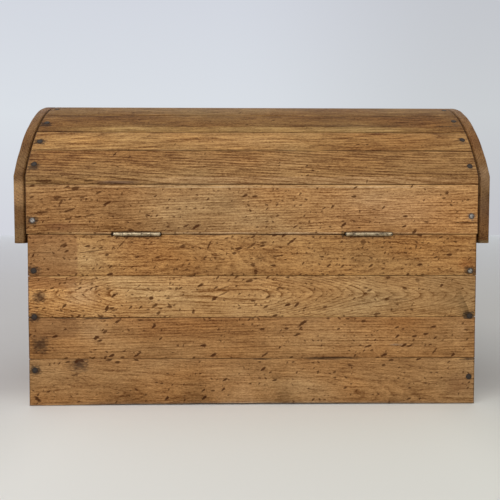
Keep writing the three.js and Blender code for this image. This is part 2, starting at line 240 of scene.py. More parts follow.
# backdrop and floor: plain screen colours, with painted shade at one side and a painted shadow of
# the chest on the floor
backdrop = {
    # height of the view ray, then the colour there
    "heights": (0.0, 0.17, 0.34),
    "colours": ((211, 213, 221), (219, 224, 230), (211, 215, 224)),
    # painted shade: this side of the backdrop is made darker
    "paintedShadeSide": (0.84, 0.83, 0.81),
    "sides": (-0.38, 0.038),  # how far aside the view ray points where it is full and ends
    "ambient": 0.5,
    "ambientTint": (0.93, 0.96, 1.0, 1.0),
}
floorLook = {
    "size": 44.0,
    "below": 0.0005,  # under the chest, so that their faces don't fight
    "lift": 1.27,  # lighter under and before the chest, against its own shade
    "liftReach": (0.55, 0.3),  # metres aside where that starts and is full
    "roughness": 0.75,
    "gloss": 0.2,
    # metres towards the camera, then the colour there: far, behind, beside and before the chest;
    # darker behind and beside it, a painted shadow of the chest
    "places": (-22.0, -4.0, -0.7, 0.1, 0.24, 0.4, 1.6),
    "colours": (
        (200, 202, 206), (182, 180, 181), (177, 173, 170), (180, 176, 173),
        (205, 202, 197), (203, 201, 195), (188, 186, 183),
    ),
    # painted shade: this side of the floor is made darker
    "paintedShadeSide": (0.92, 0.93, 0.9),
    "sides": (-0.5, 0.5),  # metres aside where it is full and where it ends
    "outside": (190, 188, 185),  # further aside than the picture shows
    "outsideReach": (0.7, 1.4),
    "outsideFrom": (-1.2, -0.3),  # metres towards the camera where that starts and is full
}


def fromScreen(colour):
    # screen values 0 to 255 to the linear ones that sockets take
    parts = [channel / 255 for channel in colour]
    return tuple(
        part / 12.92 if part <= 0.04045 else ((part + 0.055) / 1.055) ** 2.4
        for part in parts
    ) + (1.0,)


def colourRamp(value, places, colours):
    low, high = min(places), max(places)
    share = calc("DIVIDE", calc("SUBTRACT", value, low), high - low)
    ramp = addNode(treeOf(value), "ShaderNodeValToRGB")
    feed(share, ramp.inputs[0])
    stops = ramp.color_ramp.elements
    while len(stops) < len(places):
        stops.new(0.5)
    for stop, place, colour in zip(stops, places, colours):
        stop.position = (place - low) / (high - low)
        stop.color = fromScreen(colour)
    return ramp.outputs[0]


def makeWorld():
    world = bpy.data.worlds.new("studioBackdrop")
    world.use_nodes = True
    tree = world.node_tree
    tree.nodes.clear()
    ray = addNode(tree, "ShaderNodeTexCoord").outputs["Generated"]
    across, _, height = splitVector(ray)
    left = colourRamp(height, backdrop["heights"], backdrop["colours"])
    # painted shade on one side of the backdrop
    right = vectorCalc("MULTIPLY", left, backdrop["paintedShadeSide"])
    share = remap(across, *backdrop["sides"])
    seen = addNode(tree, "ShaderNodeBackground")
    feed(mixColour(share, right, left), seen.inputs[0])
    ambient = addNode(tree, "ShaderNodeBackground")
    ambient.inputs[0].default_value = backdrop["ambientTint"]
    ambient.inputs[1].default_value = backdrop["ambient"]
    path = addNode(tree, "ShaderNodeLightPath").outputs
    shown = calc("ADD", path["Is Camera Ray"], path["Is Glossy Ray"])
    shown = calc("ADD", shown, path["Is Transmission Ray"], clamp=True)
    mix = addNode(tree, "ShaderNodeMixShader")
    feed(shown, mix.inputs[0])
    feed(ambient.outputs[0], mix.inputs[1])
    feed(seen.outputs[0], mix.inputs[2])
    output = addNode(tree, "ShaderNodeOutputWorld")
    feed(mix.outputs[0], output.inputs[0])
    scene.world = world


def makeFloor():
    place = (0, 0, -floorLook["below"])
    bpy.ops.mesh.primitive_plane_add(size=floorLook["size"], location=place)
    floor = bpy.context.object
    floor.name = "studioFloor"
    material, tree, shader = startMaterial("studioFloor")
    place = addNode(tree, "ShaderNodeTexCoord").outputs["Object"]
    across, towards, _ = splitVector(place)
    # the ramp holds a painted shadow of the chest behind and beside it
    left = colourRamp(towards, floorLook["places"], floorLook["colours"])
    # painted shade on one side of the floor
    right = vectorCalc("MULTIPLY", left, floorLook["paintedShadeSide"])
    colour = mixColour(remap(across, *floorLook["sides"]), right, left)
    aside = calc("ABSOLUTE", across)
    lift = remap(aside, *floorLook["liftReach"], 1.0, floorLook["lift"])
    colour = vectorCalc("SCALE", colour, scale=lift)
    outside = remap(aside, *floorLook["outsideReach"])
    outside = times(outside, remap(towards, *floorLook["outsideFrom"]))
    colour = mixColour(outside, colour, fromScreen(floorLook["outside"]))
    feed(colour, shader.inputs["Base Color"])
    shader.inputs["Roughness"].default_value = floorLook["roughness"]
    shader.inputs["Specular IOR Level"].default_value = floorLook["gloss"]
    floor.data.materials.append(material)


makeWorld()
makeFloor()
print("floor and backdrop set")


# grain of the oak: rings round a pith line, streaks along the board and pores
grainNoise = {
    # how often each repeats in a metre along, across and into the board
    "slow": (3.2, 7, 7),
    "quick": (14, 60, 60),
    "broken": (30, 260, 260),
    "patches": (5, 12, 12),
    "pores": (60, 900, 900),
    # streaks of several lengths, each with its share
    "streaks": (
        ((2.4, 50, 50), 0.8), ((8, 120, 120), 0.9), ((14, 260, 260), 1.7),
        ((26, 430, 430), 3.2), ((190, 520, 520), 3.6), ((110, 1100, 1100), 1.6),
        ((420, 560, 560), 2.2),
    ),
    "shortFrom": 100,  # streaks that repeat more often than this are short ones
    "patchSpread": 4,
    "seedShift": (1.7, 5.3, 3.1),
}
ringShape = {
    "slowPush": (5, 1, 1),  # how far the slow noise moves the rings, as shares of the waviness
    "quickPush": 0.13,
    "sets": 0.12,  # share of a ring's width in which its dark band sets in
    "fade": 3.2,  # how fast the band fades
    "strength": (0.6, 0.4),  # random part of a band's strength, and the rest
    # range of the noise that breaks up the bands and what it becomes, and that of the pores
    "broken": (0.3, 0.6, 0.35, 1.1),
    "pores": (0.54, 0.66),
    "inBand": (0.75, 0.3),  # share of the pores that the dark bands add, and elsewhere
}


def makeGrainGroup():
    tree, given, result = startGroup(
        "oakGrain",
        {
            "Position": (0, 0, 0),  # along, across, into the board
            "Pith": (0, 0, 0.08),
            "Ring Width": 0.004,
            "Taper": 0.0,
            "Straight": 0.0,  # half length of a middle part without taper
            "Waviness": 0.006,
            "Short": 1.0,  # share of the short streaks
            "Seed": 0.0,
        },
        {"Streaks": 0.0, "Patches": 0.0, "Early": 0.0, "Pores": 0.0},
    )
    position = given["Position"]
    shift = vectorCalc("SCALE", grainNoise["seedShift"], scale=given["Seed"])
    slow = stretchedNoise(position, grainNoise["slow"], shift, 1.0)
    slowPush = vectorCalc("SUBTRACT", slow["Color"], (0.5, 0.5, 0.5))
    slowPush = vectorCalc("SCALE", slowPush, scale=given["Waviness"])
    slowPush = vectorCalc("MULTIPLY", slowPush, ringShape["slowPush"])
    quick = stretchedNoise(position, grainNoise["quick"], shift, 2.0)
    quickPush = calc("SUBTRACT", quick["Fac"], 0.5)
    quickPush = times(quickPush, given["Waviness"])
    quickPush = times(quickPush, ringShape["quickPush"])
    offset = vectorCalc("SUBTRACT", position, given["Pith"])
    offset = vectorCalc("ADD", offset, slowPush)
    radius = vectorCalc("LENGTH", vectorCalc("MULTIPLY", offset, (0, 1, 1)))
    along = calc("ABSOLUTE", splitVector(offset)["X"])
    along = calc("MAXIMUM", calc("SUBTRACT", along, given["Straight"]), 0.0)
    drift = times(along, given["Taper"])
    radius = calc("ADD", calc("ADD", radius, drift), quickPush)
    phase = calc("DIVIDE", radius, given["Ring Width"])
    inRing = calc("FRACT", phase)
    ringNumber = addNode(tree, "ShaderNodeTexWhiteNoise", noise_dimensions="1D")
    feed(calc("FLOOR", phase), ringNumber.inputs["W"])
    strength = timesPlus(ringNumber.outputs[0], *ringShape["strength"])
    fade = calc("POWER", calc("SUBTRACT", 1.0, inRing), ringShape["fade"])
    early = times(fade, remap(inRing, 0.0, ringShape["sets"]))
    broken = stretchedNoise(position, grainNoise["broken"], shift, 1.0)["Fac"]
    broken = remap(broken, *ringShape["broken"])
    early = times(early, times(strength, broken))
    feed(early, result["Early"])
    streaks = None
    for stretch, share in grainNoise["streaks"]:
        layer = stretchedNoise(position, stretch, shift, 1.5)["Fac"]
        layer = timesPlus(layer, share, -0.5 * share)
        if stretch[0] > grainNoise["shortFrom"]:
            layer = times(layer, given["Short"])
        streaks = layer if streaks is None else calc("ADD", streaks, layer)
    feed(streaks, result["Streaks"])
    patches = stretchedNoise(position, grainNoise["patches"], shift, 2.0)["Fac"]
    spread = grainNoise["patchSpread"]
    feed(timesPlus(patches, spread, -spread / 2), result["Patches"])
    pores = stretchedNoise(position, grainNoise["pores"], shift, 1.0)["Fac"]
    pores = remap(pores, *ringShape["pores"])
    inBand = timesPlus(early, *ringShape["inBand"])
    feed(times(pores, inBand), result["Pores"])
    return tree


# colour of waxed oak from its grain, as shares of the board's own tone
woodShares = {
    "warm": (1.08, 0.97, 0.84, 1),
    "cool": (0.95, 1.02, 1.14, 1),
    "dark": (0.37, 0.25, 0.12),
    "light": (1.66, 1.82, 2.1),
    "pore": (0.34, 0.22, 0.11),
    "grimy": (0.5, 0.43, 0.34),
    # the worn share lightens the arrises: rubbed wear, and partly a painted highlight
    "worn": (1.6, 1.7, 1.8),
    "dent": (0.16, 0.085, 0.03),
    "dirt": (0.15, 0.1, 0.06),
    "endDirt": (0.1, 0.06, 0.035),
}
toneShares = {
    "patch": 0.6,
    "ring": -1.7,
    "pore": 0.7,
    "lightness": (0.5, 0.58),  # slope and middle of the step from dark to light
    "warmth": (1.2, 0.5),  # the same from warm to cool
}


def makeColourGroup():
    tree, given, result = startGroup(
        "waxedOak",
        {
            "Base": (0.3, 0.16, 0.06, 1),
            "Streaks": 0.0,
            "Patches": 0.0,
            "Early": 0.0,
            "Pores": 0.0,
            "Contrast": 0.5,
            "Ring Contrast": 0.5,
            "Patch Contrast": 0.25,
        },
        {"Colour": (0, 0, 0, 1)},
    )
    tone = times(given["Streaks"], given["Contrast"])
    patch = times(given["Patches"], given["Patch Contrast"])
    ring = times(given["Early"], given["Ring Contrast"])
    tone = calc("ADD", tone, times(patch, toneShares["patch"]))
    tone = timesPlus(ring, toneShares["ring"], tone)
    share = timesPlus(tone, *toneShares["lightness"], clamp=True)
    base = given["Base"]
    warmth = timesPlus(patch, *toneShares["warmth"], clamp=True)
    hue = mixColour(warmth, woodShares["warm"], woodShares["cool"])
    base = vectorCalc("MULTIPLY", base, hue)
    dark = vectorCalc("MULTIPLY", base, woodShares["dark"])
    light = vectorCalc("MULTIPLY", base, woodShares["light"])
    colour = mixColour(share, dark, light)
    hollow = vectorCalc("MULTIPLY", base, woodShares["pore"])
    poreShare = times(given["Pores"], toneShares["pore"])
    feed(mixColour(poreShare, colour, hollow), result["Colour"])
    return tree


# short dents of a chisel or a chain, scattered over a face
dentShape = {
    "randomness": 0.95,
    "size": (1.8, 1.3, 0.48),  # power, growth and least size
    "point": (-0.45, 0.3),  # how much narrower one end is, and its least width
    "outline": (1.05, 0.55),
    "clumps": (7, 14, 1),  # how often the clumps repeat in a metre
    "clumping": (0.38, 0.62, 0.1, 1.6),
    "depth": (0.5, 0.5),
    "seedShift": (1.3, 2.9, 0),
}


def makeDentGroup():
    tree, given, result = startGroup(
        "scatteredDents",
        {
            "Position": (0, 0, 0),
            "Cell": 0.024,
            "Length": 0.005,
            "Width": 0.0013,
            "Lean": -0.5,
            "Spread": 1.2,
            "Density": 0.4,
            "Seed": 0.0,
        },
        {"Mask": 0.0},
    )
    flat = vectorCalc("MULTIPLY", given["Position"], (1, 1, 0))
    shift = vectorCalc("SCALE", dentShape["seedShift"], scale=given["Seed"])
    cells = calc("DIVIDE", 1.0, given["Cell"])
    place = vectorCalc("SCALE", flat, scale=cells)
    place = vectorCalc("ADD", place, shift)
    voronoi = addNode(tree, "ShaderNodeTexVoronoi", voronoi_dimensions="2D")
    feed(place, voronoi.inputs["Vector"])
    voronoi.inputs["Scale"].default_value = 1.0
    voronoi.inputs["Randomness"].default_value = dentShape["randomness"]
    offset = vectorCalc("SUBTRACT", place, voronoi.outputs["Position"])
    offset = vectorCalc("SCALE", offset, scale=given["Cell"])
    chance, size, turn = splitVector(voronoi.outputs["Color"])
    turn = calc("SUBTRACT", turn, 0.5)
    angle = timesPlus(turn, given["Spread"], given["Lean"])
    turned = addNode(tree, "ShaderNodeVectorRotate", rotation_type="Z_AXIS")
    feed(offset, turned.inputs["Vector"])
    feed(times(angle, -1.0), turned.inputs["Angle"])
    along, across, _ = splitVector(turned.outputs[0])
    power, growth, least = dentShape["size"]
    scale = timesPlus(calc("POWER", size, power), growth, least)
    along = calc("DIVIDE", along, times(given["Length"], scale))
    across = calc("DIVIDE", across, times(given["Width"], scale))
    narrowing, least = dentShape["point"]
    point = timesPlus(along, narrowing, 1.0)
    across = calc("DIVIDE", across, calc("MAXIMUM", point, least))
    square = times(along, along)
    square = timesPlus(across, across, square)
    inside = remap(calc("SQRT", square), *dentShape["outline"])
    clumps = stretchedNoise(flat, dentShape["clumps"], shift, 1.0)["Fac"]
    clumps = remap(clumps, *dentShape["clumping"])
    limit = times(given["Density"], clumps)
    present = calc("LESS_THAN", chance, limit)
    depth = timesPlus(size, *dentShape["depth"])
    mask = times(inside, times(present, depth))
    feed(mask, result["Mask"])
    return tree


# one dent, scratch or stain at a known place
def makeMarkGroup():
    tree, given, result = startGroup(
        "placedMark",
        {
            "Position": (0, 0, 0),
            "Ragged": 0.0,  # noise round 0 that breaks up the outline
            "Place": (0, 0, 0),
            "Lean": 0.0,
            "Size": (0.006, 0.0015, 1),
            "Soft": 0.5,
            "Square": 0.0,
        },
        {"Mask": 0.0},
    )
    offset = vectorCalc("SUBTRACT", given["Position"], given["Place"])
    turned = addNode(tree, "ShaderNodeVectorRotate", rotation_type="Z_AXIS")
    feed(offset, turned.inputs["Vector"])
    feed(given["Lean"], turned.inputs["Angle"])
    share = vectorCalc("DIVIDE", turned.outputs[0], given["Size"])
    fourth = vectorCalc("LENGTH", vectorCalc("MULTIPLY", share, share))
    fourth = times(calc("SQRT", fourth), given["Square"])
    oval = calc("SUBTRACT", 1.0, given["Square"])
    reach = timesPlus(vectorCalc("LENGTH", share), oval, fourth)
    reach = calc("ADD", reach, given["Ragged"])
    inner = calc("SUBTRACT", 1.0, given["Soft"])
    feed(remap(reach, 1.0, inner), result["Mask"])
    return tree


# dirt in the joints, and worn arrises made lighter as rubbed wear and a painted highlight, from
# the distance to a board's edges
edgeShape = {
    # mm from an edge where its dark line, its rubbed and highlighted arris and its patina start
    # and are full
    "ends": (3.2, 1.2),
    "arris": (4.5, 1.2),
    "patina": (30, 0),
    # how often each noise repeats in a metre along, across and into the board
    "rough": (26, 90, 90),
    "slow": (5, 3, 3),
    "cloud": (9, 20, 20),
    # range of each noise, and what it becomes
    "seamReach": (0.35, 0.7, 0.5, 2.6),
    "seamClumps": (0.4, 0.62, 0.15, 1.0),
    "wornHighlightSpots": (0.5, 0.66),
    "clouds": (0.4, 0.72),
    "seamCore": 0.25,  # share of the dirt's reach that is full
    "patinaShare": 0.6,
    "patinaStrength": 0.7,
    "seedShift": (2.3, 1.1, 0.7),
}


def makeEdgeGroup():
    tree, given, result = startGroup(
        "boardEdges",
        {
            "Position": (0, 0, 0),
            "Half Size": (0.4, 0.04, 0.01),
            "Seam": 0.0011,
            "Seed": 0.0,
        },
        {"Dirt": 0.0, "Worn Highlight": 0.0, "Grime": 0.0, "Ends": 0.0},
    )
    gap = vectorCalc("ABSOLUTE", given["Position"])
    gap = vectorCalc("SUBTRACT", given["Half Size"], gap)
    x, y, z = splitVector(gap)
    z = calc("MAXIMUM", z, 0.0)
    feed(remap(x, *toMetres(*edgeShape["ends"])), result["Ends"])
    low = calc("MINIMUM", x, calc("MINIMUM", y, z))
    high = calc("MAXIMUM", x, calc("MAXIMUM", y, z))
    total = calc("ADD", x, calc("ADD", y, z))
    middle = calc("SUBTRACT", total, calc("ADD", low, high))
    shift = vectorCalc("SCALE", edgeShape["seedShift"], scale=given["Seed"])
    rough = stretchedNoise(given["Position"], edgeShape["rough"], shift, 3.0)["Fac"]
    slow = stretchedNoise(given["Position"], edgeShape["slow"], shift, 1.0)["Fac"]
    slow = remap(slow, *edgeShape["seamClumps"])
    reach = times(remap(rough, *edgeShape["seamReach"]), slow)
    dirt = times(given["Seam"], reach)
    feed(remap(middle, dirt, times(dirt, edgeShape["seamCore"])), result["Dirt"])
    # lighter arrises: rubbed wear, and partly a painted highlight
    worn = remap(rough, *edgeShape["wornHighlightSpots"])
    near = remap(middle, *toMetres(*edgeShape["arris"]))
    feed(times(worn, near), result["Worn Highlight"])
    # a soft brown patina that thickens towards the edges
    cloud = stretchedNoise(given["Position"], edgeShape["cloud"], shift, 3.0, 0.6)["Fac"]
    wide = remap(middle, *toMetres(*edgeShape["patina"]), 0.0, edgeShape["patinaShare"])
    cloud = remap(cloud, *edgeShape["clouds"])
    feed(timesPlus(wide, edgeShape["patinaStrength"], cloud), result["Grime"])
    return tree


grainGroup = makeGrainGroup()
colourGroup = makeColourGroup()
dentGroup = makeDentGroup()
markGroup = makeMarkGroup()
edgeGroup = makeEdgeGroup()
print("node groups made")


# what an oak board's finish can be given; each board changes some of it
oakLook = {
    "tone": (148, 108, 64),  # screen values, as all colours in the tables
    "pith": (10, 90),  # mm across and into the board, from its middle
    "bow": -600,  # mm along the board to where its arched grain turns round
    "ringWidth": 4.2,
    "taper": -0.03,
    "straight": 0,  # mm to each side of the bow where the grain doesn't arch
    "waviness": 25,
    "seed": 1.0,
    "short": 1.0,
    "contrast": 0.64,
    "ringContrast": 0.85,
    "patchContrast": 0.42,
    "dents": 0.34,
    "dentSize": 1.0,
    "dentDrift": 0.0,  # share of dents added towards its own +x end
    "seam": 1.1,
    "grime": 0.4,
    "endDirt": 0.0,  # dark line along the short edges
    "drift": 0.0,  # share by which it gets lighter towards its own +x end
    "roughness": 0.55,
    "gloss": 0.12,
    "bump": (0.8, 0.7),  # strength, and mm of depth
    "through": False,  # marks and stains go round the board's rim
    # mm along and across from the middle, degrees of lean, half length, half width, depth
    "marks": (),
    # mm along and across, half length, half width, then softness, strength and colour
    "stains": (),
}
# shares with which the parts of the finish show, in its colour, roughness and height
oakShares = {"worn": 0.5, "pricks": 0.8, "dents": 0.92, "dirt": 0.85}
dentedFacing = (0.5, 0.75)  # how far a surface faces outwards where dents start and are full
outerDepth = 0.2  # marks and stains fade out within this share of the half thickness
oakRoughness = {"streaks": -0.05, "dents": 0.25}
oakHeights = {"Pores": -0.35, "Early": -0.12, "Streaks": 0.05, "dents": -1.0}
markShape = {
    "ragged": (160, 300, 300),  # how often the outline's noise repeats in a metre
    "raggedness": 1.3,
    "soft": 0.5,
    "growth": (1.4, 2.0),  # along and across, since the soft outline takes some
}
stainShape = {
    "large": 30,  # mm of half length from which a stain's outline is cleaner
    "clean": 0.2,
    "square": 12,  # mm of half length from which a stain is nearly square
    "squareness": 0.9,
    "ownColour": 0.45,  # share of the wood's colour in a plain stain
    "shade": 0.6,  # share of a stain that shades the wood
    "most": 3.0,  # times that it may lighten it
}
# dark rings round nails, and painted shadow at the ends of the hinge recesses, for the end of a
# stain's row
nailHalo = (14.5, 10.5, 0.55, 0.95, (46, 30, 18))
faintHalo = (9, 7.5, 0.5, 0.45, (84, 64, 46))
greyHalo = (9.5, 9, 0.35, 0.7, (112, 92, 76))
flatHalo = (0.35, 0.95, (46, 38, 30))
hingeRecessShadow = (0.3, 1.0, (26, 16, 10))

# scattered dents: mm between places, half length and half width, then lean and spread
# in radians, share of the board's dents and what is added to its seed
dentKind = {
    "cell": 19, "length": 4.6, "width": 1.7, "lean": -0.42, "spread": 1.0,
    "share": 0.6, "seed": 0.0,
}
prickKind = {
    "cell": 10.5, "length": 2.5, "width": 1.3, "lean": -0.3, "spread": 2.4,
    "share": 0.7, "seed": 4.0,
}
edgeReach = 0.002  # metres from a board's long edge that count as its edge


def boardAxes(turn, side=0.0):
    # board frame: x along the grain, y across it, z into the board
    return Euler((math.radians(turn), 0, math.radians(side)), "XYZ")


def boardFrame(node, axes):
    # middle and half size of a board in its own frame; its thickness is that of its long edges
    inverse = axes.to_matrix().transposed()
    points = [inverse @ vertex.co for vertex in node.data.vertices]
    low = Vector([min(point[axis] for point in points) for axis in range(3)])
    high = Vector([max(point[axis] for point in points) for axis in range(3)])
    edge = [point.z for point in points if point.y > high.y - edgeReach]
    low.z = max(low.z, min(edge))
    middle = (low + high) / 2
    return axes.to_matrix() @ middle, (high - low) / 2


def shaded(base, name):
    return tuple(part * share for part, share in zip(base, woodShares[name])) + (1.0,)


def towardsEnd(position, half, value, more):
    # a value that grows by a share of itself towards the board's own +x end
    way = splitVector(position)[0]
    return timesPlus(way, value * more / half.x, value)


def layStains(colour, look, base, flat, ragged, onFace):
    for along, across, length, width, soft, strength, tint in look["stains"]:
        isLarge = length >= stainShape["large"]
        edge = times(ragged, stainShape["clean"]) if isLarge else ragged
        isSquare = length >= stainShape["square"]
        stain = useGroup(markGroup, {
            "Position": flat,
            "Ragged": edge,
            "Place": (*toMetres(along, across), 0),
            "Size": (*toMetres(length, width), 1),
            "Soft": soft,
            "Square": stainShape["squareness"] if isSquare else 0.0,
        })["Mask"]
        share = times(stain, times(onFace, strength, tree=stain.id_data))
        # a stain shades the wood under it, so its grain still shows
        tinted = mixColour(stainShape["ownColour"], fromScreen(tint), colour)
        tintShares = tuple(
            min(stainShape["most"], wanted / had)
            for wanted, had in zip(fromScreen(tint), base)
        )
        shade = vectorCalc("MULTIPLY", colour, tintShares[:3])
        tinted = mixColour(stainShape["shade"], tinted, shade)
        colour = mixColour(share, colour, tinted)
    return colour


def scatterDents(position, look, density, kind):
    size = look["dentSize"] / 1000
    return useGroup(dentGroup, {
        "Position": position,
        "Cell": kind["cell"] / 1000,
        "Length": kind["length"] * size,
        "Width": kind["width"] * size,
        "Lean": kind["lean"],
        "Spread": kind["spread"],
        "Density": times(density, kind["share"], tree=position.id_data),
        "Seed": look["seed"] + kind["seed"],
    })["Mask"]


def placeMarks(dents, look, flat, ragged, onFace):
    growth = markShape["growth"]
    for along, across, lean, length, width, darkness in look["marks"]:
        mark = useGroup(markGroup, {
            "Position": flat,
            "Ragged": ragged,
            "Place": (*toMetres(along, across), 0),
            "Lean": math.radians(-lean),
            "Size": (*toMetres(length * growth[0], width * growth[1]), 1),
            "Soft": markShape["soft"],
        })["Mask"]
        mark = times(mark, times(onFace, darkness, tree=mark.id_data))
        dents = calc("MAXIMUM", dents, mark)
    return dents


def makeOak(name, node, axes, changes):
    look = {**oakLook, **changes}
    base = fromScreen(look["tone"])
    place, half = boardFrame(node, axes)
    material, tree, shader = startMaterial(name)
    mapping = addNode(tree, "ShaderNodeMapping", vector_type="TEXTURE")
    coordinates = addNode(tree, "ShaderNodeTexCoord").outputs
    feed(coordinates["Object"], mapping.inputs["Vector"])
    mapping.inputs["Location"].default_value = place
    mapping.inputs["Rotation"].default_value = axes
    position = mapping.outputs[0]
    grain = useGroup(grainGroup, {
        "Position": position,
        "Pith": toMetres(look["bow"], *look["pith"]),
        "Ring Width": look["ringWidth"] / 1000,
        "Taper": look["taper"],
        "Straight": look["straight"] / 1000,
        "Waviness": look["waviness"] / 1000,
        "Short": look["short"],
        "Seed": look["seed"],
    })
    colour = useGroup(colourGroup, {
        "Base": base,
        **{part: grain[part] for part in ("Streaks", "Patches", "Early", "Pores")},
        "Contrast": look["contrast"],
        "Ring Contrast": look["ringContrast"],
        "Patch Contrast": look["patchContrast"],
    })["Colour"]
    ragged = None
    if look["marks"] or look["stains"]:
        ragged = stretchedNoise(position, markShape["ragged"], None, 2.0)["Fac"]
        raggedness = markShape["raggedness"]
        ragged = timesPlus(ragged, raggedness, -raggedness / 2)
    flat = vectorCalc("MULTIPLY", position, (1, 1, 0))
    # marks and stains are on the outer face only, unless they go round the rim
    depth = vectorCalc("DOT_PRODUCT", position, (0, 0, 1))
    ends = half.z * outerDepth
    onFace = 1.0 if look["through"] else remap(depth, ends, -ends)
    if look["drift"]:
        light = towardsEnd(position, half, 1.0, look["drift"])
        colour = vectorCalc("SCALE", colour, scale=light)
    colour = layStains(colour, look, base, flat, ragged, onFace)
    edges = useGroup(edgeGroup, {
        "Position": position,
        "Half Size": half,
        "Seam": look["seam"] / 1000,
        "Seed": look["seed"],
    })
    grime = times(edges["Grime"], look["grime"], clamp=True)
    grimy = vectorCalc("MULTIPLY", colour, woodShares["grimy"])
    colour = mixColour(grime, colour, grimy)
    # the arrises made lighter: rubbed wear, and partly a painted highlight
    worn = times(edges["Worn Highlight"], oakShares["worn"])
    colour = mixColour(worn, colour, shaded(base, "worn"))
    density = look["dents"]
    if look["dentDrift"]:
        density = towardsEnd(position, half, density, look["dentDrift"])
    dents = scatterDents(position, look, density, dentKind)
    pricks = scatterDents(position, look, density, prickKind)
    dents = calc("MAXIMUM", dents, times(pricks, oakShares["pricks"]))
    # no dents on the narrow sides, where they would run through the whole thickness
    facing = vectorCalc("DOT_PRODUCT", coordinates["Normal"], axes.to_matrix().col[2])
    facing = remap(calc("ABSOLUTE", facing), *dentedFacing)
    dents = times(dents, facing)
    dents = placeMarks(dents, look, flat, ragged, onFace)
    dentShare = times(dents, oakShares["dents"])
    colour = mixColour(dentShare, colour, shaded(base, "dent"))
    dirtShare = times(edges["Dirt"], oakShares["dirt"])
    colour = mixColour(dirtShare, colour, shaded(base, "dirt"))
    if look["endDirt"]:
        endShare = times(edges["Ends"], times(facing, look["endDirt"]))
        colour = mixColour(endShare, colour, shaded(base, "endDirt"))
    feed(colour, shader.inputs["Base Color"])
    shine = timesPlus(grain["Streaks"], oakRoughness["streaks"], look["roughness"])
    shine = timesPlus(dents, oakRoughness["dents"], shine)
    feed(shine, shader.inputs["Roughness"])
    shader.inputs["Specular IOR Level"].default_value = look["gloss"]
    height = 0.5
    for part in ("Pores", "Early", "Streaks"):
        height = timesPlus(grain[part], oakHeights[part], height)
    height = timesPlus(dents, oakHeights["dents"], height)
    addBump(shader, height, *look["bump"])
    return material


# the boards: degrees turned round the chest and on its upright axis, then the own finish
upright, crest, downright = 90, 180, 270
rearTurns = (122.8, 131.3, 142.0, 158.5)
slatTurns = (*rearTurns, crest, *(360 - turn for turn in reversed(rearTurns)))
plankLook = {"endDirt": 0.6}
slatLook = {"endDirt": 1.0, "short": 0.65}
boards = {}

# those that the photo shows
boards["back_plank_1"] = (upright, 0, {
    **plankLook, "tone": (157, 114, 64), "drift": 0.03, "seam": 0.7, "seed": 1.0,
    "pith": (-10, 50), "taper": -0.05, "waviness": 40, "ringContrast": 0.6,
    "dents": 1.02, "dentDrift": 0.35,
    "marks": (
        (366, 19, -30, 6.4, 1.6, 0.8), (360, 7.4, -30, 4.5, 1.5, 0.9),
        (311, 7.1, -7, 21.4, 0.9, 0.75), (254, 21.6, -48, 10.2, 1, 0.8),
        (282, 0.7, -40, 3.9, 1.6, 0.9), (136, 17.3, -10, 5.6, 1.7, 0.85),
        (411, 4.6, -2, 20.4, 0.8, 0.6), (86, 17.7, -68, 8.6, 1.1, 0.8),
        (28, 12.9, -5, 6.6, 1.8, 0.95), (37, 3.9, 0, 3.9, 1.7, 0.9),
        (1, 19.4, -42, 8, 1.3, 0.75), (-19, 23.6, -15, 5.4, 1.4, 0.75),
        (-74, 26.2, -38, 10.2, 1.5, 0.95), (-47, -2.2, -12, 11.8, 1.2, 0.85),
        (-13, -7.1, -8, 9.7, 1, 0.6), (1, -18.3, 0, 4.3, 2.6, 0.8),
        (-5, -33.4, -80, 5.4, 2, 0.8), (-214, 24.6, 0, 4.8, 3, 0.75),
    ),
    "stains": (
        (0, 39.4, 455, 1.7, 0.5, 0.9, (62, 38, 24)),
        (397, 0, 61, 70, 0.08, 0.9, (140, 96, 54)),
        (314, 2, 40, 40, 0.95, 0.3, (178, 140, 92)),
        (-415, -20, 22, 16, 0.9, 0.5, (150, 90, 40)),
        # painted shade in the hinge recesses along the barrels, and painted shadow at their ends
        (224, 36, 49, 2.6, 0.5, 0.9, (58, 36, 22)), (-222, 36, 51, 2.6, 0.5, 0.9, (58, 36, 22)),
        (272, 39, 3.6, 5, *hingeRecessShadow), (-174, 39, 5, 5, *hingeRecessShadow),
        (423, -29.9, *nailHalo), (-423, -31, *nailHalo),
    ),
})
boards["back_plank_2"] = (upright, 0, {
    **plankLook, "tone": (167, 126, 76), "drift": 0.2, "seam": 0.6, "seed": 2.0,
    "pith": (6, 9), "bow": 130, "taper": 0.17, "straight": 150, "waviness": 17,
    "ringWidth": 3.7, "ringContrast": 1.05, "contrast": 0.5, "dents": 0.75, "dentDrift": 0.4,
    "marks": (
        (197, -2.4, -25, 4.5, 2, 1), (283, -22.7, -62, 5.4, 1.9, 1),
        (274, -22.7, -28, 4.9, 1.5, 0.9), (190, -17.1, -32, 6.4, 1.6, 0.85),
        (162, -19.3, -5, 4.5, 1.6, 0.95), (184, -32.2, -28, 4.5, 1.8, 0.9),
        (116, -29.2, -58, 4.3, 1.6, 0.9), (8, 30.5, -15, 6, 1.7, 0.9),
        (75, -3.7, -32, 6.4, 1.9, 1), (59, 5.3, -27, 11.8, 1, 0.7),
        (59, 16.1, -22, 10.7, 0.9, 0.6), (0, -8.2, -10, 4.1, 1.6, 0.9),
        (-262, 36.2, -30, 4.8, 1.8, 0.85), (-295, 15.4, 20, 4.5, 1.5, 0.85),
        (-320, 32, 0, 3.7, 2.6, 0.6), (-227, 11.9, -28, 5.4, 1.4, 0.85),
        (-260, -5.7, -8, 4.1, 1.6, 0.9), (-287, -5.7, 0, 19.4, 0.8, 0.6),
        (-242, -33.6, -18, 5.9, 1.6, 0.85),
    ),
    "stains": (
        (413, 0, 17, 16, 0.8, 1.0, (56, 34, 18)),
        (398, 32, 60, 17, 0.1, 0.9, (142, 100, 58)),
        (330, 6, 44, 34, 0.9, 0.7, (178, 146, 106)),
        (-380, 0, 60, 40, 0.9, 0.6, (134, 96, 54)),
        (423, -38.5, *nailHalo), (-421, -38.5, 12.5, 9, *flatHalo),
    ),
})
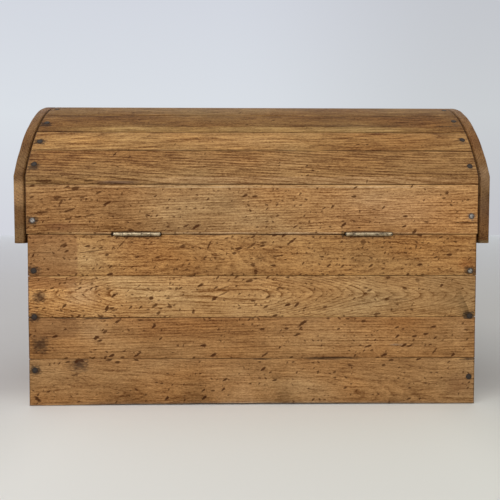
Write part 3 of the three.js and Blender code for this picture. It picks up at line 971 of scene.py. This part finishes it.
boards["back_plank_3"] = (upright, 0, {
    **plankLook, "tone": (150, 108, 62), "seam": 0.9, "seed": 3.0, "pith": (150, 60),
    "ringWidth": 4.8, "taper": -0.012, "waviness": 12, "ringContrast": 0.9, "contrast": 0.5,
    "dents": 0.6,
    "marks": (
        (262, 33.7, -35, 6.6, 1.6, 0.95), (219, 35.7, 5, 6.4, 1.2, 0.8),
        (287, 13.2, -35, 4.3, 1.7, 0.85), (304, 1.3, -28, 6, 2.1, 1),
        (297, -4.1, -22, 4.3, 1.5, 0.9), (225, -32.2, -35, 7.7, 1.5, 0.9),
        (-18, 16.6, -8, 4.9, 1.5, 0.9), (-96, 28.3, -35, 9.9, 1.7, 0.95),
        (-86, 6.6, -25, 5.6, 1.6, 0.9), (-64, 18, 0, 3.9, 1.6, 0.9),
        (-23, -32.4, -35, 9.1, 1.1, 0.85), (-215, 32.7, -12, 4.3, 1.7, 0.85),
        (-338, 6.9, -10, 5.4, 1.6, 0.9), (-224, -16.9, -18, 7.5, 1.2, 0.85),
        (-307, -15.9, -32, 5.9, 1.3, 0.85), (-355, -27, -52, 7.8, 1.1, 0.75),
    ),
    "stains": (
        (396, 22, 60, 24, 0.06, 0.9, (134, 94, 54)),
        (312, 16, 38, 30, 0.95, 0.45, (174, 134, 88)),
        (412, -12, 20, 22, 0.8, 1.0, (62, 40, 22)),
        (300, 39, 36, 2.4, 0.5, 1.0, (58, 36, 20)), (366, 40, 26, 1.8, 0.5, 1.0, (62, 40, 22)),
        (-152, -39, 60, 1.8, 0.5, 1.0, (58, 36, 20)),
        (-278, -14, 14, 3, 0.7, 0.6, (110, 96, 82)),
        (423, 41.5, *nailHalo), (-421, 41.5, 12.5, 6, *flatHalo),
    ),
})
boards["back_plank_4"] = (upright, 0, {
    **plankLook, "tone": (146, 107, 63), "seed": 4.0, "pith": (-15, 32), "taper": -0.03,
    "waviness": 60, "ringContrast": 0.6, "contrast": 0.5, "dents": 0.45,
    "marks": (
        (342, 41.9, -45, 3.6, 1.9, 1), (279, 44.4, -15, 6.4, 1.4, 0.85),
        (264, 39.4, 0, 4.5, 1.5, 0.85), (345, 15.1, -6, 5.4, 1.4, 0.8),
        (335, 43, 15, 5.9, 1.8, 0.8), (-188, 32, 0, 4.5, 1.9, 0.75),
        (-255, 31.8, -15, 3.9, 1.8, 0.85), (418, -33, 45, 7, 2.4, 1),
    ),
    "stains": (
        (338, 36, 24, 22, 0.9, 1.0, (64, 44, 28)),
        (-20, 44, 28, 1.4, 0.4, 0.9, (56, 34, 16)), (-152, 44, 60, 1.4, 0.4, 0.9, (56, 34, 16)),
        (-424, 43, 26, 2, 0.4, 1.0, (50, 30, 16)),
        (-405, -8, 40, 34, 0.9, 0.8, (120, 80, 44)),
        # painted sheen along its bottom arris, where it catches the light
        (0, -46, 600, 9, 0.8, 0.55, (128, 112, 94)),
        (423, 24.2, *nailHalo), (-423, 8.4, *faintHalo),
    ),
})
boards["lid_back_board"] = (upright, 0, {
    **slatLook, "short": 0.9, "tone": (160, 118, 70), "drift": -0.15, "seam": 0.6,
    "seed": 5.0, "pith": (110, 70), "waviness": 16, "ringContrast": 1.0, "dents": 0.62,
    "dentDrift": 0.7,
    "marks": (
        (341, 39.4, -8, 7.4, 2.4, 0.9), (296, 32.2, -25, 7.4, 1.2, 0.85),
        (376, 21.4, -20, 7.4, 2.8, 0.75), (369, 13.8, -55, 5.6, 1.4, 0.8),
        (328, 22.6, -5, 4.6, 1.2, 0.8), (281, 11.2, -30, 7.4, 1.7, 1),
        (354, -2.3, -18, 12, 1.3, 0.9), (407, -6.3, -8, 12, 1.5, 0.8),
        (314, -11.8, -10, 9.2, 1.1, 0.8), (356, -18.8, -5, 5.6, 1.4, 0.8),
        (253, 29.2, -70, 3.3, 1.2, 0.7), (261, 38, -20, 3, 1.2, 0.8),
        (166, 2.4, -30, 3.7, 1.2, 0.7), (130, -32.2, -30, 5.6, 1.2, 0.9),
        (109, -33, -28, 8.3, 1.7, 1), (220, -27.2, -5, 4.4, 1.2, 0.7),
        (236, -39.9, 0, 5.6, 1.7, 0.9),
        (-376, 31.7, 0, 3.7, 1.9, 0.9),
        (-337, -24.4, 0, 4.8, 1.2, 0.8), (-313, -42.9, -50, 4.8, 1.9, 0.95),
        (-417, -25.6, 1, 26, 0.9, 0.9),
    ),
    "stains": (
        (371, -34, 46, 12, 0.9, 0.7, (124, 78, 46)),
        (-270, 0, 180, 60, 0.9, 0.5, (168, 130, 90)),
        # painted highlights along its top and lower edges
        (0, 43.5, 460, 3, 0.5, 0.7, (196, 160, 112)),
        (0, -45.6, 460, 1.8, 0.5, 0.8, (196, 158, 114)),
        # painted shade in the hinge recesses along the barrels, and painted shadow at their ends
        (224, -43, 49, 2, 0.6, 0.9, (62, 40, 24)), (-222, -43, 51, 2, 0.6, 0.9, (62, 40, 24)),
        (272, -46, 3.6, 4, *hingeRecessShadow), (-174, -46, 5, 4, *hingeRecessShadow),
        (424, -21.5, *nailHalo), (-424, -13.5, *greyHalo),
    ),
})
boards["lid_slat_1"] = (slatTurns[0], 0, {
    **slatLook, "taper": 0.05, "tone": (142, 103, 57), "drift": 0.02, "seed": 6.0,
    "pith": (120, 60), "waviness": 16, "ringWidth": 5.6, "ringContrast": 1.6,
    "contrast": 1.0, "dents": 0.12,
    "marks": ((400, -34, 0, 16, 1.6, 0.7), (316, -33, -3, 9, 1.2, 0.8)),
    "stains": (
        # painted light on its lower part, which stands upright and catches more light
        (-120, -32, 372, 7.5, 0.3, 0.9, (170, 130, 84)),
        (0, -37.8, 455, 1.0, 0.5, 0.9, (52, 34, 20)),
        (0, 10, 190, 26, 0.95, 0.35, (166, 124, 76)),
        (262, -35, 60, 3.5, 0.8, 0.9, (92, 68, 54)),
        (-330, 4, 110, 28, 0.9, 0.45, (140, 101, 57)),
        (424, -4, *nailHalo), (-424, -4, *faintHalo),
    ),
    "through": True,  # its lower edge bends away from the face
})
boards["lid_slat_2"] = (slatTurns[1], 0, {
    **slatLook, "tone": (152, 111, 61), "drift": 0.08, "seam": 1.5, "seed": 7.0,
    "pith": (20, 30), "waviness": 30, "contrast": 0.9, "dents": 0.16, "dentSize": 0.7,
    "stains": (
        (40, 0, 190, 30, 0.95, 0.5, (176, 132, 80)), (-335, 0, 110, 34, 0.8, 0.7, (146, 103, 55)),
        (0, -26, 455, 1.6, 0.6, 0.7, (84, 58, 34)),
        (424, -4, *nailHalo), (-424, -4, *faintHalo),
    ),
})
boards["lid_slat_3"] = (slatTurns[2], 0, {
    **slatLook, "tone": (119, 84, 43), "drift": 0.05, "roughness": 0.68, "seed": 8.0,
    "pith": (-80, 50), "waviness": 14, "contrast": 0.95, "ringContrast": 1.2, "grime": 0.6,
    "dents": 0.12, "dentSize": 0.7,
    "stains": (
        (424, -8, *nailHalo), (-424, -8, *faintHalo),
        (-400, -13, 22, 2, 0.6, 0.95, (40, 28, 18)),
        # painted light along its lower part
        (0, -25, 455, 11, 0.4, 0.95, (168, 132, 86)),
        (0, -37.5, 455, 3.2, 0.6, 1.0, (50, 34, 22)),
        (-240, -11, 180, 1.6, 0.6, 0.8, (70, 48, 30)),
    ),
})
boards["lid_slat_4"] = (slatTurns[3], 0, {
    **slatLook, "tone": (123, 89, 48), "drift": 0.04, "roughness": 0.68, "seed": 9.0,
    "pith": (80, 60), "waviness": 20, "contrast": 0.95, "grime": 0.5, "dents": 0.1,
    "stains": ((0, -60, 455, 6, 0.6, 0.7, (78, 56, 36)),),
})

# those that it doesn't show, each with the place of its pith
hiddenPiths = {
    "lid_slat_5": (20, 40), "lid_slat_6": (-100, 60), "lid_slat_7": (110, 60),
    "lid_slat_8": (0, 30), "lid_slat_9": (120, 50), "lid_front_board": (20, 26),
    "front_plank_1": (-20, 50), "front_plank_2": (15, 24), "front_plank_3": (120, 60),
    "front_plank_4": (-25, 40),
}
for name, pith in hiddenPiths.items():
    boards[name] = (slatTurns[int(name[-1]) - 1] if "slat" in name else downright, 0, {
        "seed": 10.0 + len(boards), "pith": pith, "dents": 0.15 if "lid" in name else 0.34,
    })
innerTone = (164, 128, 92)
# painted light and shade on each cheek's back rim, as lighter and darker bands
cheekLightAndShade = {
    "left": (
        (253, -85, 40, 40, 0.9, 0.8, (88, 58, 34)), (253, -26, 40, 32, 0.9, 0.8, (148, 114, 80)),
        (253, -150, 40, 5, 0.7, 0.8, (124, 112, 92)),
    ),
    "right": (
        (-253, -56, 40, 36, 0.9, 0.85, (180, 160, 134)),
        (-253, -104, 40, 22, 0.8, 0.7, (132, 92, 50)),
        (-253, -152, 40, 8, 0.8, 0.7, (92, 66, 38)),
    ),
}
for side, sideName in ((90, "left"), (-90, "right")):
    for number in range(1, 5):
        boards[f"{sideName}_end_plank_{number}"] = (upright, side, {
            "seed": 30.0 + len(boards), "pith": (25 * number - 60, 20 + 12 * number),
        })
    boards[f"lid_cheek_{sideName}"] = (upright, side, {
        "seed": 50.0 + side / 30, "tone": (115, 81, 44), "pith": (60, 60), "dents": 0.3,
        "contrast": 0.5, "patchContrast": 0.7, "grime": 0.6,
        "stains": cheekLightAndShade[sideName], "through": True,
    })
    boards[f"lid_inner_end_{sideName}"] = (upright, side, {
        "seed": 60.0 + side / 30, "tone": innerTone, "dents": 0.0,
    })
for kind, count, side, seed in (("board", 4, 0, 70.0), ("batten", 3, 90, 80.0)):
    for number in range(1, count + 1):
        boards[f"floor_{kind}_{number}"] = (0, side, {
            "seed": seed + number, "tone": innerTone, "dents": 0.0,
        })


# modelling helpers
def takeOnly(piece):
    bpy.ops.object.select_all(action="DESELECT")
    piece.select_set(True)
    bpy.context.view_layer.objects.active = piece


def openMesh(piece):
    takeOnly(piece)
    bpy.ops.object.mode_set(mode="EDIT")
    bpy.ops.mesh.select_mode(type="FACE")


def pickFaces(piece, test):
    shape = bmesh.from_edit_mesh(piece.data)
    for face in shape.faces:
        face.select_set(test(face))
    shape.select_flush_mode()
    bmesh.update_edit_mesh(piece.data)


def closeMesh(smoothAngle):
    bpy.ops.object.mode_set(mode="OBJECT")
    bpy.ops.object.shade_smooth_by_angle(angle=math.radians(smoothAngle))


def applyAll(piece):
    takeOnly(piece)
    for modifier in list(piece.modifiers):
        bpy.ops.object.modifier_apply(modifier=modifier.name)


def addCopy(name, mesh):
    piece = bpy.data.objects.new(name, mesh.copy())
    scene.collection.objects.link(piece)
    return piece


capTilt = 0.9  # least upward part of a cap's normal


def startHead(sides, radius, thick, high):
    # the head of a nail or a screw, left open for shaping
    bpy.ops.object.select_all(action="DESELECT")
    bpy.ops.mesh.primitive_cylinder_add(
        vertices=sides, radius=radius, depth=thick, location=(0, 0, high - thick / 2)
    )
    piece = bpy.context.object
    bpy.ops.object.transform_apply()
    openMesh(piece)
    return piece


def drawShank(piece, shape, point):
    pickFaces(piece, lambda face: face.normal.z < -capTilt)
    bpy.ops.mesh.inset(thickness=shape["radius"] - shape["shank"])
    move = {"value": (0, 0, -shape["length"])}
    bpy.ops.mesh.extrude_region_move(TRANSFORM_OT_translate=move)
    bpy.ops.transform.resize(value=(point, point, 1))


# where the CAD nails are, each with its outward direction and its iron
cadHead = {"thick": 1.6, "proud": 0.7}  # mm


def headOf(name, outward):
    # the middle of a CAD nail's head, at the wood's surface
    points = [vertex.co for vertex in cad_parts[name].data.vertices]
    top = max(point.dot(outward) for point in points)
    low = top - cadHead["thick"] / 1000
    head = [point for point in points if point.dot(outward) > low]
    middle = sum(head, Vector()) / len(head)
    return middle + outward * (top - cadHead["proud"] / 1000 - middle.dot(outward))


def outwardOf(turn):
    return -boardAxes(turn).to_matrix().col[2]


cadNails = {}
for sideName in ("right", "left"):
    for number, turn in enumerate(slatTurns[:3], 1):
        node = f"wall_nail_{sideName}_{number}"
        iron = "polishedIron" if node == "wall_nail_left_1" else "forgedIron"
        cadNails[node] = (headOf(node, outwardOf(upright)), outwardOf(upright), iron)
        node = f"slat_nail_{sideName}_{number}"
        cadNails[node] = (headOf(node, outwardOf(turn)), outwardOf(turn), "forgedIron")
    node = f"lid_board_nail_{sideName}"
    cadNails[node] = (headOf(node, outwardOf(upright)), outwardOf(upright), "greyIron")


# worn boards: the CAD boards copied, with arrises that are rubbed off unevenly
wear = {
    "spacing": 42,  # mm between the places where an arris can change
    "margin": 3.2,  # mm from an arris to where the face is flat again
    "depth": 1.2,  # mm
    "closed": 0.22,  # mm that a joint face moves to meet the next board
    "nailRoom": 8,  # mm round a nail where the board stays as it is
    "grain": 45,  # mm between one hollow and the next
    "faceShare": 0.1,
    "flushShare": 0.5,  # share where nails lie flush and must stay inside the chest's box
    "skin": 0.4,  # mm from a board's outer face that still count as on it
    "underside": 5,  # mm above the floor, as the next
    "lidLine": 333.2,
    "lineReach": 2,  # mm
    "welded": 0.01,  # mm
    "shiftSteps": 8,  # half millimetres that a cut may be moved either way
    "flatAngle": 0.5,  # degrees
    "sharpAngle": 24,
    "smoothAngle": 28,
    "facing": 0.75,  # least part of a joint face's normal that points to its neighbour
    "noiseContrast": 1.6,
}
wornNames = [
    name for name in boards
    if not name.startswith(("floor", "lid_inner"))
]
flushNames = ("front_plank", "lid_front", "lid_slat_5", "lid_cheek")
arrisNoise = bpy.data.textures.new("arrisWear", "CLOUDS")
arrisNoise.noise_scale = wear["grain"] / 1000
arrisNoise.noise_depth = 2
arrisNoise.contrast = wear["noiseContrast"]


def inJoint(face):
    # not the chest's underside, and not the line between body and lid
    height = face.calc_center_median().z * 1000
    offLine = abs(height - wear["lidLine"]) > wear["lineReach"]
    return height > wear["underside"] and offLine


def clearPlace(board, place, way, distance):
    # a cut beside a corner of the dome's outline would leave a sliver on its rim
    corners = [(vertex.co - place).dot(way) for vertex in board.data.vertices]
    steps = wear["shiftSteps"]
    options = [distance + step / 2000 for step in range(-steps, steps + 1)]
    return max(options, key=lambda option: min(abs(corner - option) for corner in corners))


def wearBoard(name, axes):
    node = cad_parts[name]
    board = addCopy(name + "_worn", node.data)
    openMesh(board)
    bpy.ops.mesh.select_all(action="SELECT")
    bpy.ops.mesh.remove_doubles(threshold=wear["welded"] / 1000)
    bpy.ops.mesh.dissolve_limited(angle_limit=math.radians(wear["flatAngle"]))
    place, half = boardFrame(node, axes)
    turned = axes.to_matrix()
    # the joint faces meet their neighbours, so that no light comes through
    if "cheek" not in name:
        for sign in (1, -1):
            way = turned.col[1] * sign
            facing = wear["facing"]
            pickFaces(board, lambda face: face.normal.dot(way) > facing and inJoint(face))
            bpy.ops.transform.translate(value=way * wear["closed"] / 1000)
    margin = wear["margin"] / 1000
    count = max(2, round(half.x * 2000 / wear["spacing"]))
    cuts = [(0, half.x * (2 * step / count - 1)) for step in range(1, count)]
    for axis in range(3):
        edge = half[axis] - margin
        cuts += [(axis, edge), (axis, -edge)]
    for axis, distance in cuts:
        way = turned.col[axis]
        if "cheek" in name and axis < 2:
            distance = clearPlace(board, place, way, distance)
        bpy.ops.mesh.select_all(action="SELECT")
        bpy.ops.mesh.bisect(plane_co=place + way * distance, plane_no=way)
    bpy.ops.object.mode_set(mode="OBJECT")
    flush = name.startswith(flushNames)
    faces = board.vertex_groups.new(name="worn")
    faces.add(range(len(board.data.vertices)), wear["faceShare"], "REPLACE")
    if flush:
        outer = [
            vertex.index for vertex in board.data.vertices
            if (vertex.co - place).dot(turned.col[2]) < wear["skin"] / 1000 - half.z
        ]
        faces.add(outer, wear["flushShare"], "REPLACE")
    openMesh(board)
    bpy.ops.mesh.select_mode(type="EDGE")
    bpy.ops.mesh.select_all(action="DESELECT")
    bpy.ops.mesh.edges_select_sharp(sharpness=math.radians(wear["sharpAngle"]))
    board.vertex_groups.active_index = 0
    scene.tool_settings.vertex_group_weight = 1.0
    bpy.ops.object.vertex_group_assign()
    bpy.ops.object.mode_set(mode="OBJECT")
    room = wear["nailRoom"] / 1000
    near = []
    for vertex in board.data.vertices:
        for head, outward, _ in cadNails.values():
            if (vertex.co - head).cross(outward).length < room:
                near.append(vertex.index)
    faces.add(near, 0.0, "REPLACE")
    rub = board.modifiers.new("rub", "DISPLACE")
    rub.texture = arrisNoise
    rub.texture_coords = "LOCAL"
    rub.vertex_group = "worn"
    rub.mid_level = 1.0  # never outwards
    rub.strength = wear["depth"] / 1000
    applyAll(board)
    for vertex in board.data.vertices:
        for axis in range(3):
            inside = max(vertex.co[axis], cadBox[0][axis])
            vertex.co[axis] = min(inside, cadBox[1][axis])
    bpy.ops.object.shade_smooth_by_angle(angle=math.radians(wear["smoothAngle"]))
    return board


for name, (turn, side, changes) in boards.items():
    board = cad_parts[name]
    axes = boardAxes(turn, side)
    material = makeOak(name + "_oak", board, axes, changes)
    if name in wornNames:
        board = wearBoard(name, axes)
        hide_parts(name)
        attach(board, "lid" if name.startswith("lid") else "body")
    onlyMaterial(board, material)
print("boards finished:", len(boards))


# forged nails: lengths in mm, then the rest
nailShape = {
    "radius": 5.8,
    "sunk": 1.0,
    "rim": 0.2,  # mm that the rim stands out of the wood
    "rise": 0.35,
    "shank": 1.2,
    "length": 30,
    "uneven": 0.16,
    "pressed": 0.2,  # mm below the wood where a head may not stand out
}
nailForm = {
    "sides": 8,
    "point": 0.35,  # share of the shank's radius left at its end
    "steps": ((0.3, 0.7), (0.3, 0.3)),  # shares of the radius and of the rise
    "smoothAngle": 20,
    "kinds": 5,
    "firstSeed": 3,
    "turn": 2.4,  # radians from one nail to the next
}
nailTones = {
    # edge, middle, share of the light patches
    "forgedIron": ((32, 26, 21), (72, 64, 56), 0.3),
    "greyIron": ((72, 66, 62), (166, 158, 148), 0.8),
    "polishedIron": ((40, 36, 32), (168, 160, 144), 0.9),
}
ironLook = {
    # how often the blotches and pits repeat in a metre
    "blotch": (420, 420, 420),
    "pits": (1500, 1500, 1500),
    "inner": (0.95, 0.45),  # share of the radius where the light patches start and are full
    "light": (0.4, 0.62, 0.25, 1.0),
    "least": 0.55,  # share of the light patches that each iron has
    "rust": (66, 42, 26),
    "rusty": (0.5, 0.36),
    "rustShare": 0.6,
    "metallic": (0.3, 0.85),
    "roughness": (0.7, 0.42),
    "gloss": 0.35,
    "pitShare": 0.4,
    "bump": (0.7, 0.5),  # strength, and mm of depth
}


def forgeNail(kind):
    shape = {key: value / 1000 for key, value in nailShape.items()}
    thick = shape["sunk"] + shape["rim"]
    nail = startHead(nailForm["sides"], shape["radius"], thick, shape["rim"])
    pickFaces(nail, lambda face: face.normal.z > capTilt)
    for share, rise in nailForm["steps"]:
        bpy.ops.mesh.inset(thickness=shape["radius"] * share)
        bpy.ops.transform.translate(value=(0, 0, shape["rise"] * rise))
    drawShank(nail, shape, nailForm["point"])
    bpy.ops.mesh.select_all(action="SELECT")
    seed = kind + nailForm["firstSeed"]
    bpy.ops.transform.vertex_random(offset=shape["uneven"], seed=seed)
    closeMesh(nailForm["smoothAngle"])
    # how near the rim each point is, for the finish
    rim = nail.data.attributes.new("rim", "FLOAT", "POINT")
    for vertex in nail.data.vertices:
        reach = min(1.0, vertex.co.xy.length / shape["radius"])
        rim.data[vertex.index].value = reach
    return nail


def makeIron(name):
    edge, middle, patch = nailTones[name]
    material, tree, shader = startMaterial(name)
    place = addNode(tree, "ShaderNodeTexCoord").outputs["Object"]
    rim = addNode(tree, "ShaderNodeAttribute", attribute_name="rim").outputs["Fac"]
    blotch = stretchedNoise(place, ironLook["blotch"], None, 3.0, 0.6)["Fac"]
    pits = stretchedNoise(place, ironLook["pits"], None, 2.0)["Fac"]
    inner = remap(rim, *ironLook["inner"])
    light = times(remap(blotch, *ironLook["light"]), inner)
    light = times(light, ironLook["least"] + patch / 2)
    colour = mixColour(light, fromScreen(edge), fromScreen(middle))
    rusty = times(remap(blotch, *ironLook["rusty"]), ironLook["rustShare"])
    colour = mixColour(rusty, colour, fromScreen(ironLook["rust"]))
    feed(colour, shader.inputs["Base Color"])
    feed(remap(light, 0, 1, *ironLook["metallic"]), shader.inputs["Metallic"])
    feed(remap(light, 0, 1, *ironLook["roughness"]), shader.inputs["Roughness"])
    shader.inputs["Specular IOR Level"].default_value = ironLook["gloss"]
    height = timesPlus(pits, ironLook["pitShare"], blotch)
    addBump(shader, height, *ironLook["bump"])
    return material


nailKinds = [forgeNail(kind) for kind in range(nailForm["kinds"])]
irons = {name: makeIron(name) for name in nailTones}
nailCount = 0


def setNail(name, place, outward, body, iron="forgedIron", flush=False, node=None):
    # flush presses the head down, where it may not stand out
    global nailCount
    model = nailKinds[nailCount % len(nailKinds)]
    nail = addCopy(name, model.data)
    way = Vector(outward)
    spin = Euler((0, 0, nailCount * nailForm["turn"])).to_matrix()
    turn = way.to_track_quat("Z", "X").to_matrix() @ spin
    nail.data.transform(turn.to_4x4())
    pressed = nailShape["pressed"] / 1000
    for vertex in nail.data.vertices:
        out = vertex.co.dot(way)
        if flush and out > -pressed:
            vertex.co -= way * (out + pressed)
        vertex.co += place
    nail.data.materials.append(irons[iron])
    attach(nail, body)
    if node:
        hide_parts(node)
    nailCount += 1


mirrorY = cadBox[0][1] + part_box("back_plank_1")[1].y  # the front's y is this less the back's
guessedNails = {
    "frontRise": 1,  # mm
    "slatEnd": 424,
    # degrees of turn, mm from the middle, mm up and whether the head is flush
    "crown": {
        "rear": (slatTurns[3], 84.5, 603.3, False),
        "crest": (crest, -2.3, 620.0, True),
        "fore": (slatTurns[5], -89.0, 603.3, False),
    },
    "cheekFace": 460,
    "cheek": ((196, 352), (-201, 350), (166, 500), (-172, 502), (-2, 572)),
    "battens": (-396, 1, 396),
    "floorRows": (-174.7, -59.7, 55.2, 170.2),
    "rowShift": 3,  # mm aside on each next batten
    "floorTop": 44,
}
for node, (place, outward, iron) in cadNails.items():
    body = "body" if node.startswith("wall") else "lid"
    setNail(node + "_forged", place, outward, body, iron, node=node)
    # its like on the front, flush where the board is the chest's outline
    height = place.z + guessedNails["frontRise"] / 1000
    front = Vector((place.x, mirrorY - place.y, height))
    way = Vector((0, -outward.y, outward.z))
    setNail("front_" + node, front, way, body, flush=not node.startswith("slat"))
for side, sideName in ((1, "right"), (-1, "left")):
    for name, (turn, y, z, flush) in guessedNails["crown"].items():
        place = Vector(toMetres(guessedNails["slatEnd"] * side, y, z))
        name = f"crown_nail_{sideName}_{name}"
        setNail(name, place, outwardOf(turn), "lid", flush=flush)
    for number, (y, z) in enumerate(guessedNails["cheek"], 1):
        place = Vector(toMetres(guessedNails["cheekFace"] * side, y, z))
        setNail(f"cheek_nail_{sideName}_{number}", place, (side, 0, 0), "lid", flush=True)
for column, x in enumerate(guessedNails["battens"], 1):
    for row, y in enumerate(guessedNails["floorRows"], 1):
        y += guessedNails["rowShift"] * column
        place = Vector(toMetres(x, y, guessedNails["floorTop"]))
        setNail(f"floor_nail_{row}_{column}", place, (0, 0, 1), "body")
for model in nailKinds:
    bpy.data.objects.remove(model)
print("nails set:", nailCount)


# slotted screws in the hinge leaves: lengths in mm, then the rest
screwShape = {
    "radius": 3.1,
    "thick": 1.3,
    "edge": 0.25,
    "shank": 1.4,
    "length": 9,
    "slot": 0.8,
    "slotDepth": 0.75,
    "hollow": 0.2,  # mm below the head's face that already hold dirt
    "proud": 0.15,  # mm that a head stands out of its leaf
    "first": 188.5,  # mm from the middle of the chest
    "pitch": 23.667,
    "y": 240.35,
    "bodyFace": 333.0,
    "lidFace": 333.4,
}
screwForm = {
    "sides": 20,
    "point": 0.3,
    "smoothAngle": 30,
    "count": 4,  # in each leaf
    "turn": 1.1,  # radians from one slot to the next
}


def cutScrew():
    shape = {key: value / 1000 for key, value in screwShape.items()}
    screw = startHead(screwForm["sides"], shape["radius"], shape["thick"], 0)
    pickFaces(screw, lambda face: face.normal.z > capTilt)
    bpy.ops.mesh.bevel(offset=shape["edge"], segments=2, affect="EDGES")
    drawShank(screw, shape, screwForm["point"])
    bpy.ops.object.mode_set(mode="OBJECT")
    bpy.ops.object.select_all(action="DESELECT")
    bpy.ops.mesh.primitive_cube_add(size=1, location=(0, 0, 0))
    cutter = bpy.context.object
    cutter.scale = (shape["radius"] * 3, shape["slot"], shape["slotDepth"] * 2)
    bpy.ops.object.transform_apply()
    cut = screw.modifiers.new("slot", "BOOLEAN")
    cut.object = cutter
    cut.operation = "DIFFERENCE"
    cut.solver = "EXACT"
    applyAll(screw)
    bpy.ops.object.shade_smooth_by_angle(angle=math.radians(screwForm["smoothAngle"]))
    bpy.data.objects.remove(cutter)
    # the slot and the head's rim hold dirt
    hollow = screw.data.attributes.new("hollow", "FLOAT", "POINT")
    for vertex in screw.data.vertices:
        isLow = vertex.co.z < -shape["hollow"]
        hollow.data[vertex.index].value = 1.0 if isLow else 0.0
    return screw


# brass of the hinges and steel of the pins: dull, brown in the hollows
metals = {
    "hinge_brass": {
        "light": (180, 163, 132), "dull": (124, 105, 78), "dirt": (48, 34, 22),
        "roughness": 0.45,
    },
    "pin_steel": {
        "light": (150, 146, 138), "dull": (104, 98, 90), "dirt": (48, 38, 30),
        "roughness": 0.4,
    },
    "screw_brass": {
        "light": (196, 176, 134), "dull": (140, 118, 84), "dirt": (34, 24, 16),
        "roughness": 0.4,
    },
}
metalLook = {
    # how often the blotches, scratches and pits repeat in a metre
    "blotch": (130, 300, 300),
    "scratch": (90, 2600, 2600),
    "pits": (1900, 1900, 1900),
    "scratches": 0.5,  # share of the scratches beside that of the blotches
    "light": (0.58, 0.92),
    "dirty": (0.5, 0.34),
    "dirtShare": 0.75,
    "metallic": (0, 0.8, 0.85, 0.2),  # from clean to dirty
    # roughness and height that dirt, light places and scratches add
    "dirtRoughness": 0.3,
    "lightRoughness": -0.1,
    "scratchHeight": 0.4,
    "dirtHeight": -0.5,
    "bump": (0.5, 0.3),
}
# painted shade in the gaps between a hinge's knuckles
knuckles = {
    "from": 179.5,  # mm from the middle of the chest to a hinge's inner end
    "width": 17.9,
    "barrel": (246.2, 247.8),  # mm towards the back where the barrel starts
    "strength": 0.5,
    "line": (0.05, 0.015),  # shares of the width
}


def makeMetal(name):
    look = metals[name]
    material, tree, shader = startMaterial(name)
    place = addNode(tree, "ShaderNodeTexCoord").outputs["Object"]
    blotch = stretchedNoise(place, metalLook["blotch"], None, 4.0, 0.6)["Fac"]
    scratch = stretchedNoise(place, metalLook["scratch"], None, 1.0)["Fac"]
    pits = stretchedNoise(place, metalLook["pits"], None, 2.0)["Fac"]
    share = timesPlus(scratch, metalLook["scratches"], blotch)
    share = remap(share, *metalLook["light"])
    colour = mixColour(share, fromScreen(look["dull"]), fromScreen(look["light"]))
    dirt = times(remap(blotch, *metalLook["dirty"]), metalLook["dirtShare"])
    if name == "screw_brass":
        hollow = addNode(tree, "ShaderNodeAttribute", attribute_name="hollow").outputs["Fac"]
        dirt = calc("MAXIMUM", dirt, hollow)
    if name == "hinge_brass":
        # painted shade in the gaps between the knuckles, added to the dirt
        across, towards, _ = splitVector(place)
        start = calc("SUBTRACT", calc("ABSOLUTE", across), knuckles["from"] / 1000)
        phase = calc("DIVIDE", start, knuckles["width"] / 1000)
        near = calc("ABSOLUTE", calc("SUBTRACT", phase, calc("ROUND", phase)))
        ring = remap(near, *knuckles["line"])
        onBarrel = remap(towards, *toMetres(*knuckles["barrel"]))
        ring = times(ring, times(onBarrel, knuckles["strength"]))
        dirt = calc("MAXIMUM", dirt, ring)
    colour = mixColour(dirt, colour, fromScreen(look["dirt"]))
    feed(colour, shader.inputs["Base Color"])
    feed(remap(dirt, *metalLook["metallic"]), shader.inputs["Metallic"])
    shine = timesPlus(dirt, metalLook["dirtRoughness"], look["roughness"])
    shine = timesPlus(share, metalLook["lightRoughness"], shine)
    feed(shine, shader.inputs["Roughness"])
    height = timesPlus(scratch, metalLook["scratchHeight"], pits)
    height = timesPlus(dirt, metalLook["dirtHeight"], height)
    addBump(shader, height, *metalLook["bump"])
    return material


metalMaterials = {name: makeMetal(name) for name in metals}
screwModel = cutScrew()
screwModel.data.materials.append(metalMaterials["screw_brass"])
for side, sideName in ((1, "right"), (-1, "left")):
    for leaf, body in (("body_leaf", "body"), ("lid_leaf", "lid")):
        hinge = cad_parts[f"hinge_{leaf}_{sideName}"]
        onlyMaterial(hinge, metalMaterials["hinge_brass"])
        for number in range(screwForm["count"]):
            screw = addCopy(f"hinge_screw_{body}_{sideName}_{number + 1}", screwModel.data)
            x = side * (screwShape["first"] + number * screwShape["pitch"])
            over = 0 if body == "body" else math.pi
            spin = Euler((0, over, number * screwForm["turn"] + side))
            screw.data.transform(spin.to_matrix().to_4x4())
            proud = screwShape["proud"] * (1 if body == "body" else -1)
            face = screwShape[body + "Face"] + proud
            for vertex in screw.data.vertices:
                vertex.co += Vector(toMetres(x, screwShape["y"], face))
            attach(screw, body)
    onlyMaterial(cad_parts[f"hinge_pin_{sideName}"], metalMaterials["pin_steel"])
bpy.data.objects.remove(screwModel)
print("hinges finished")
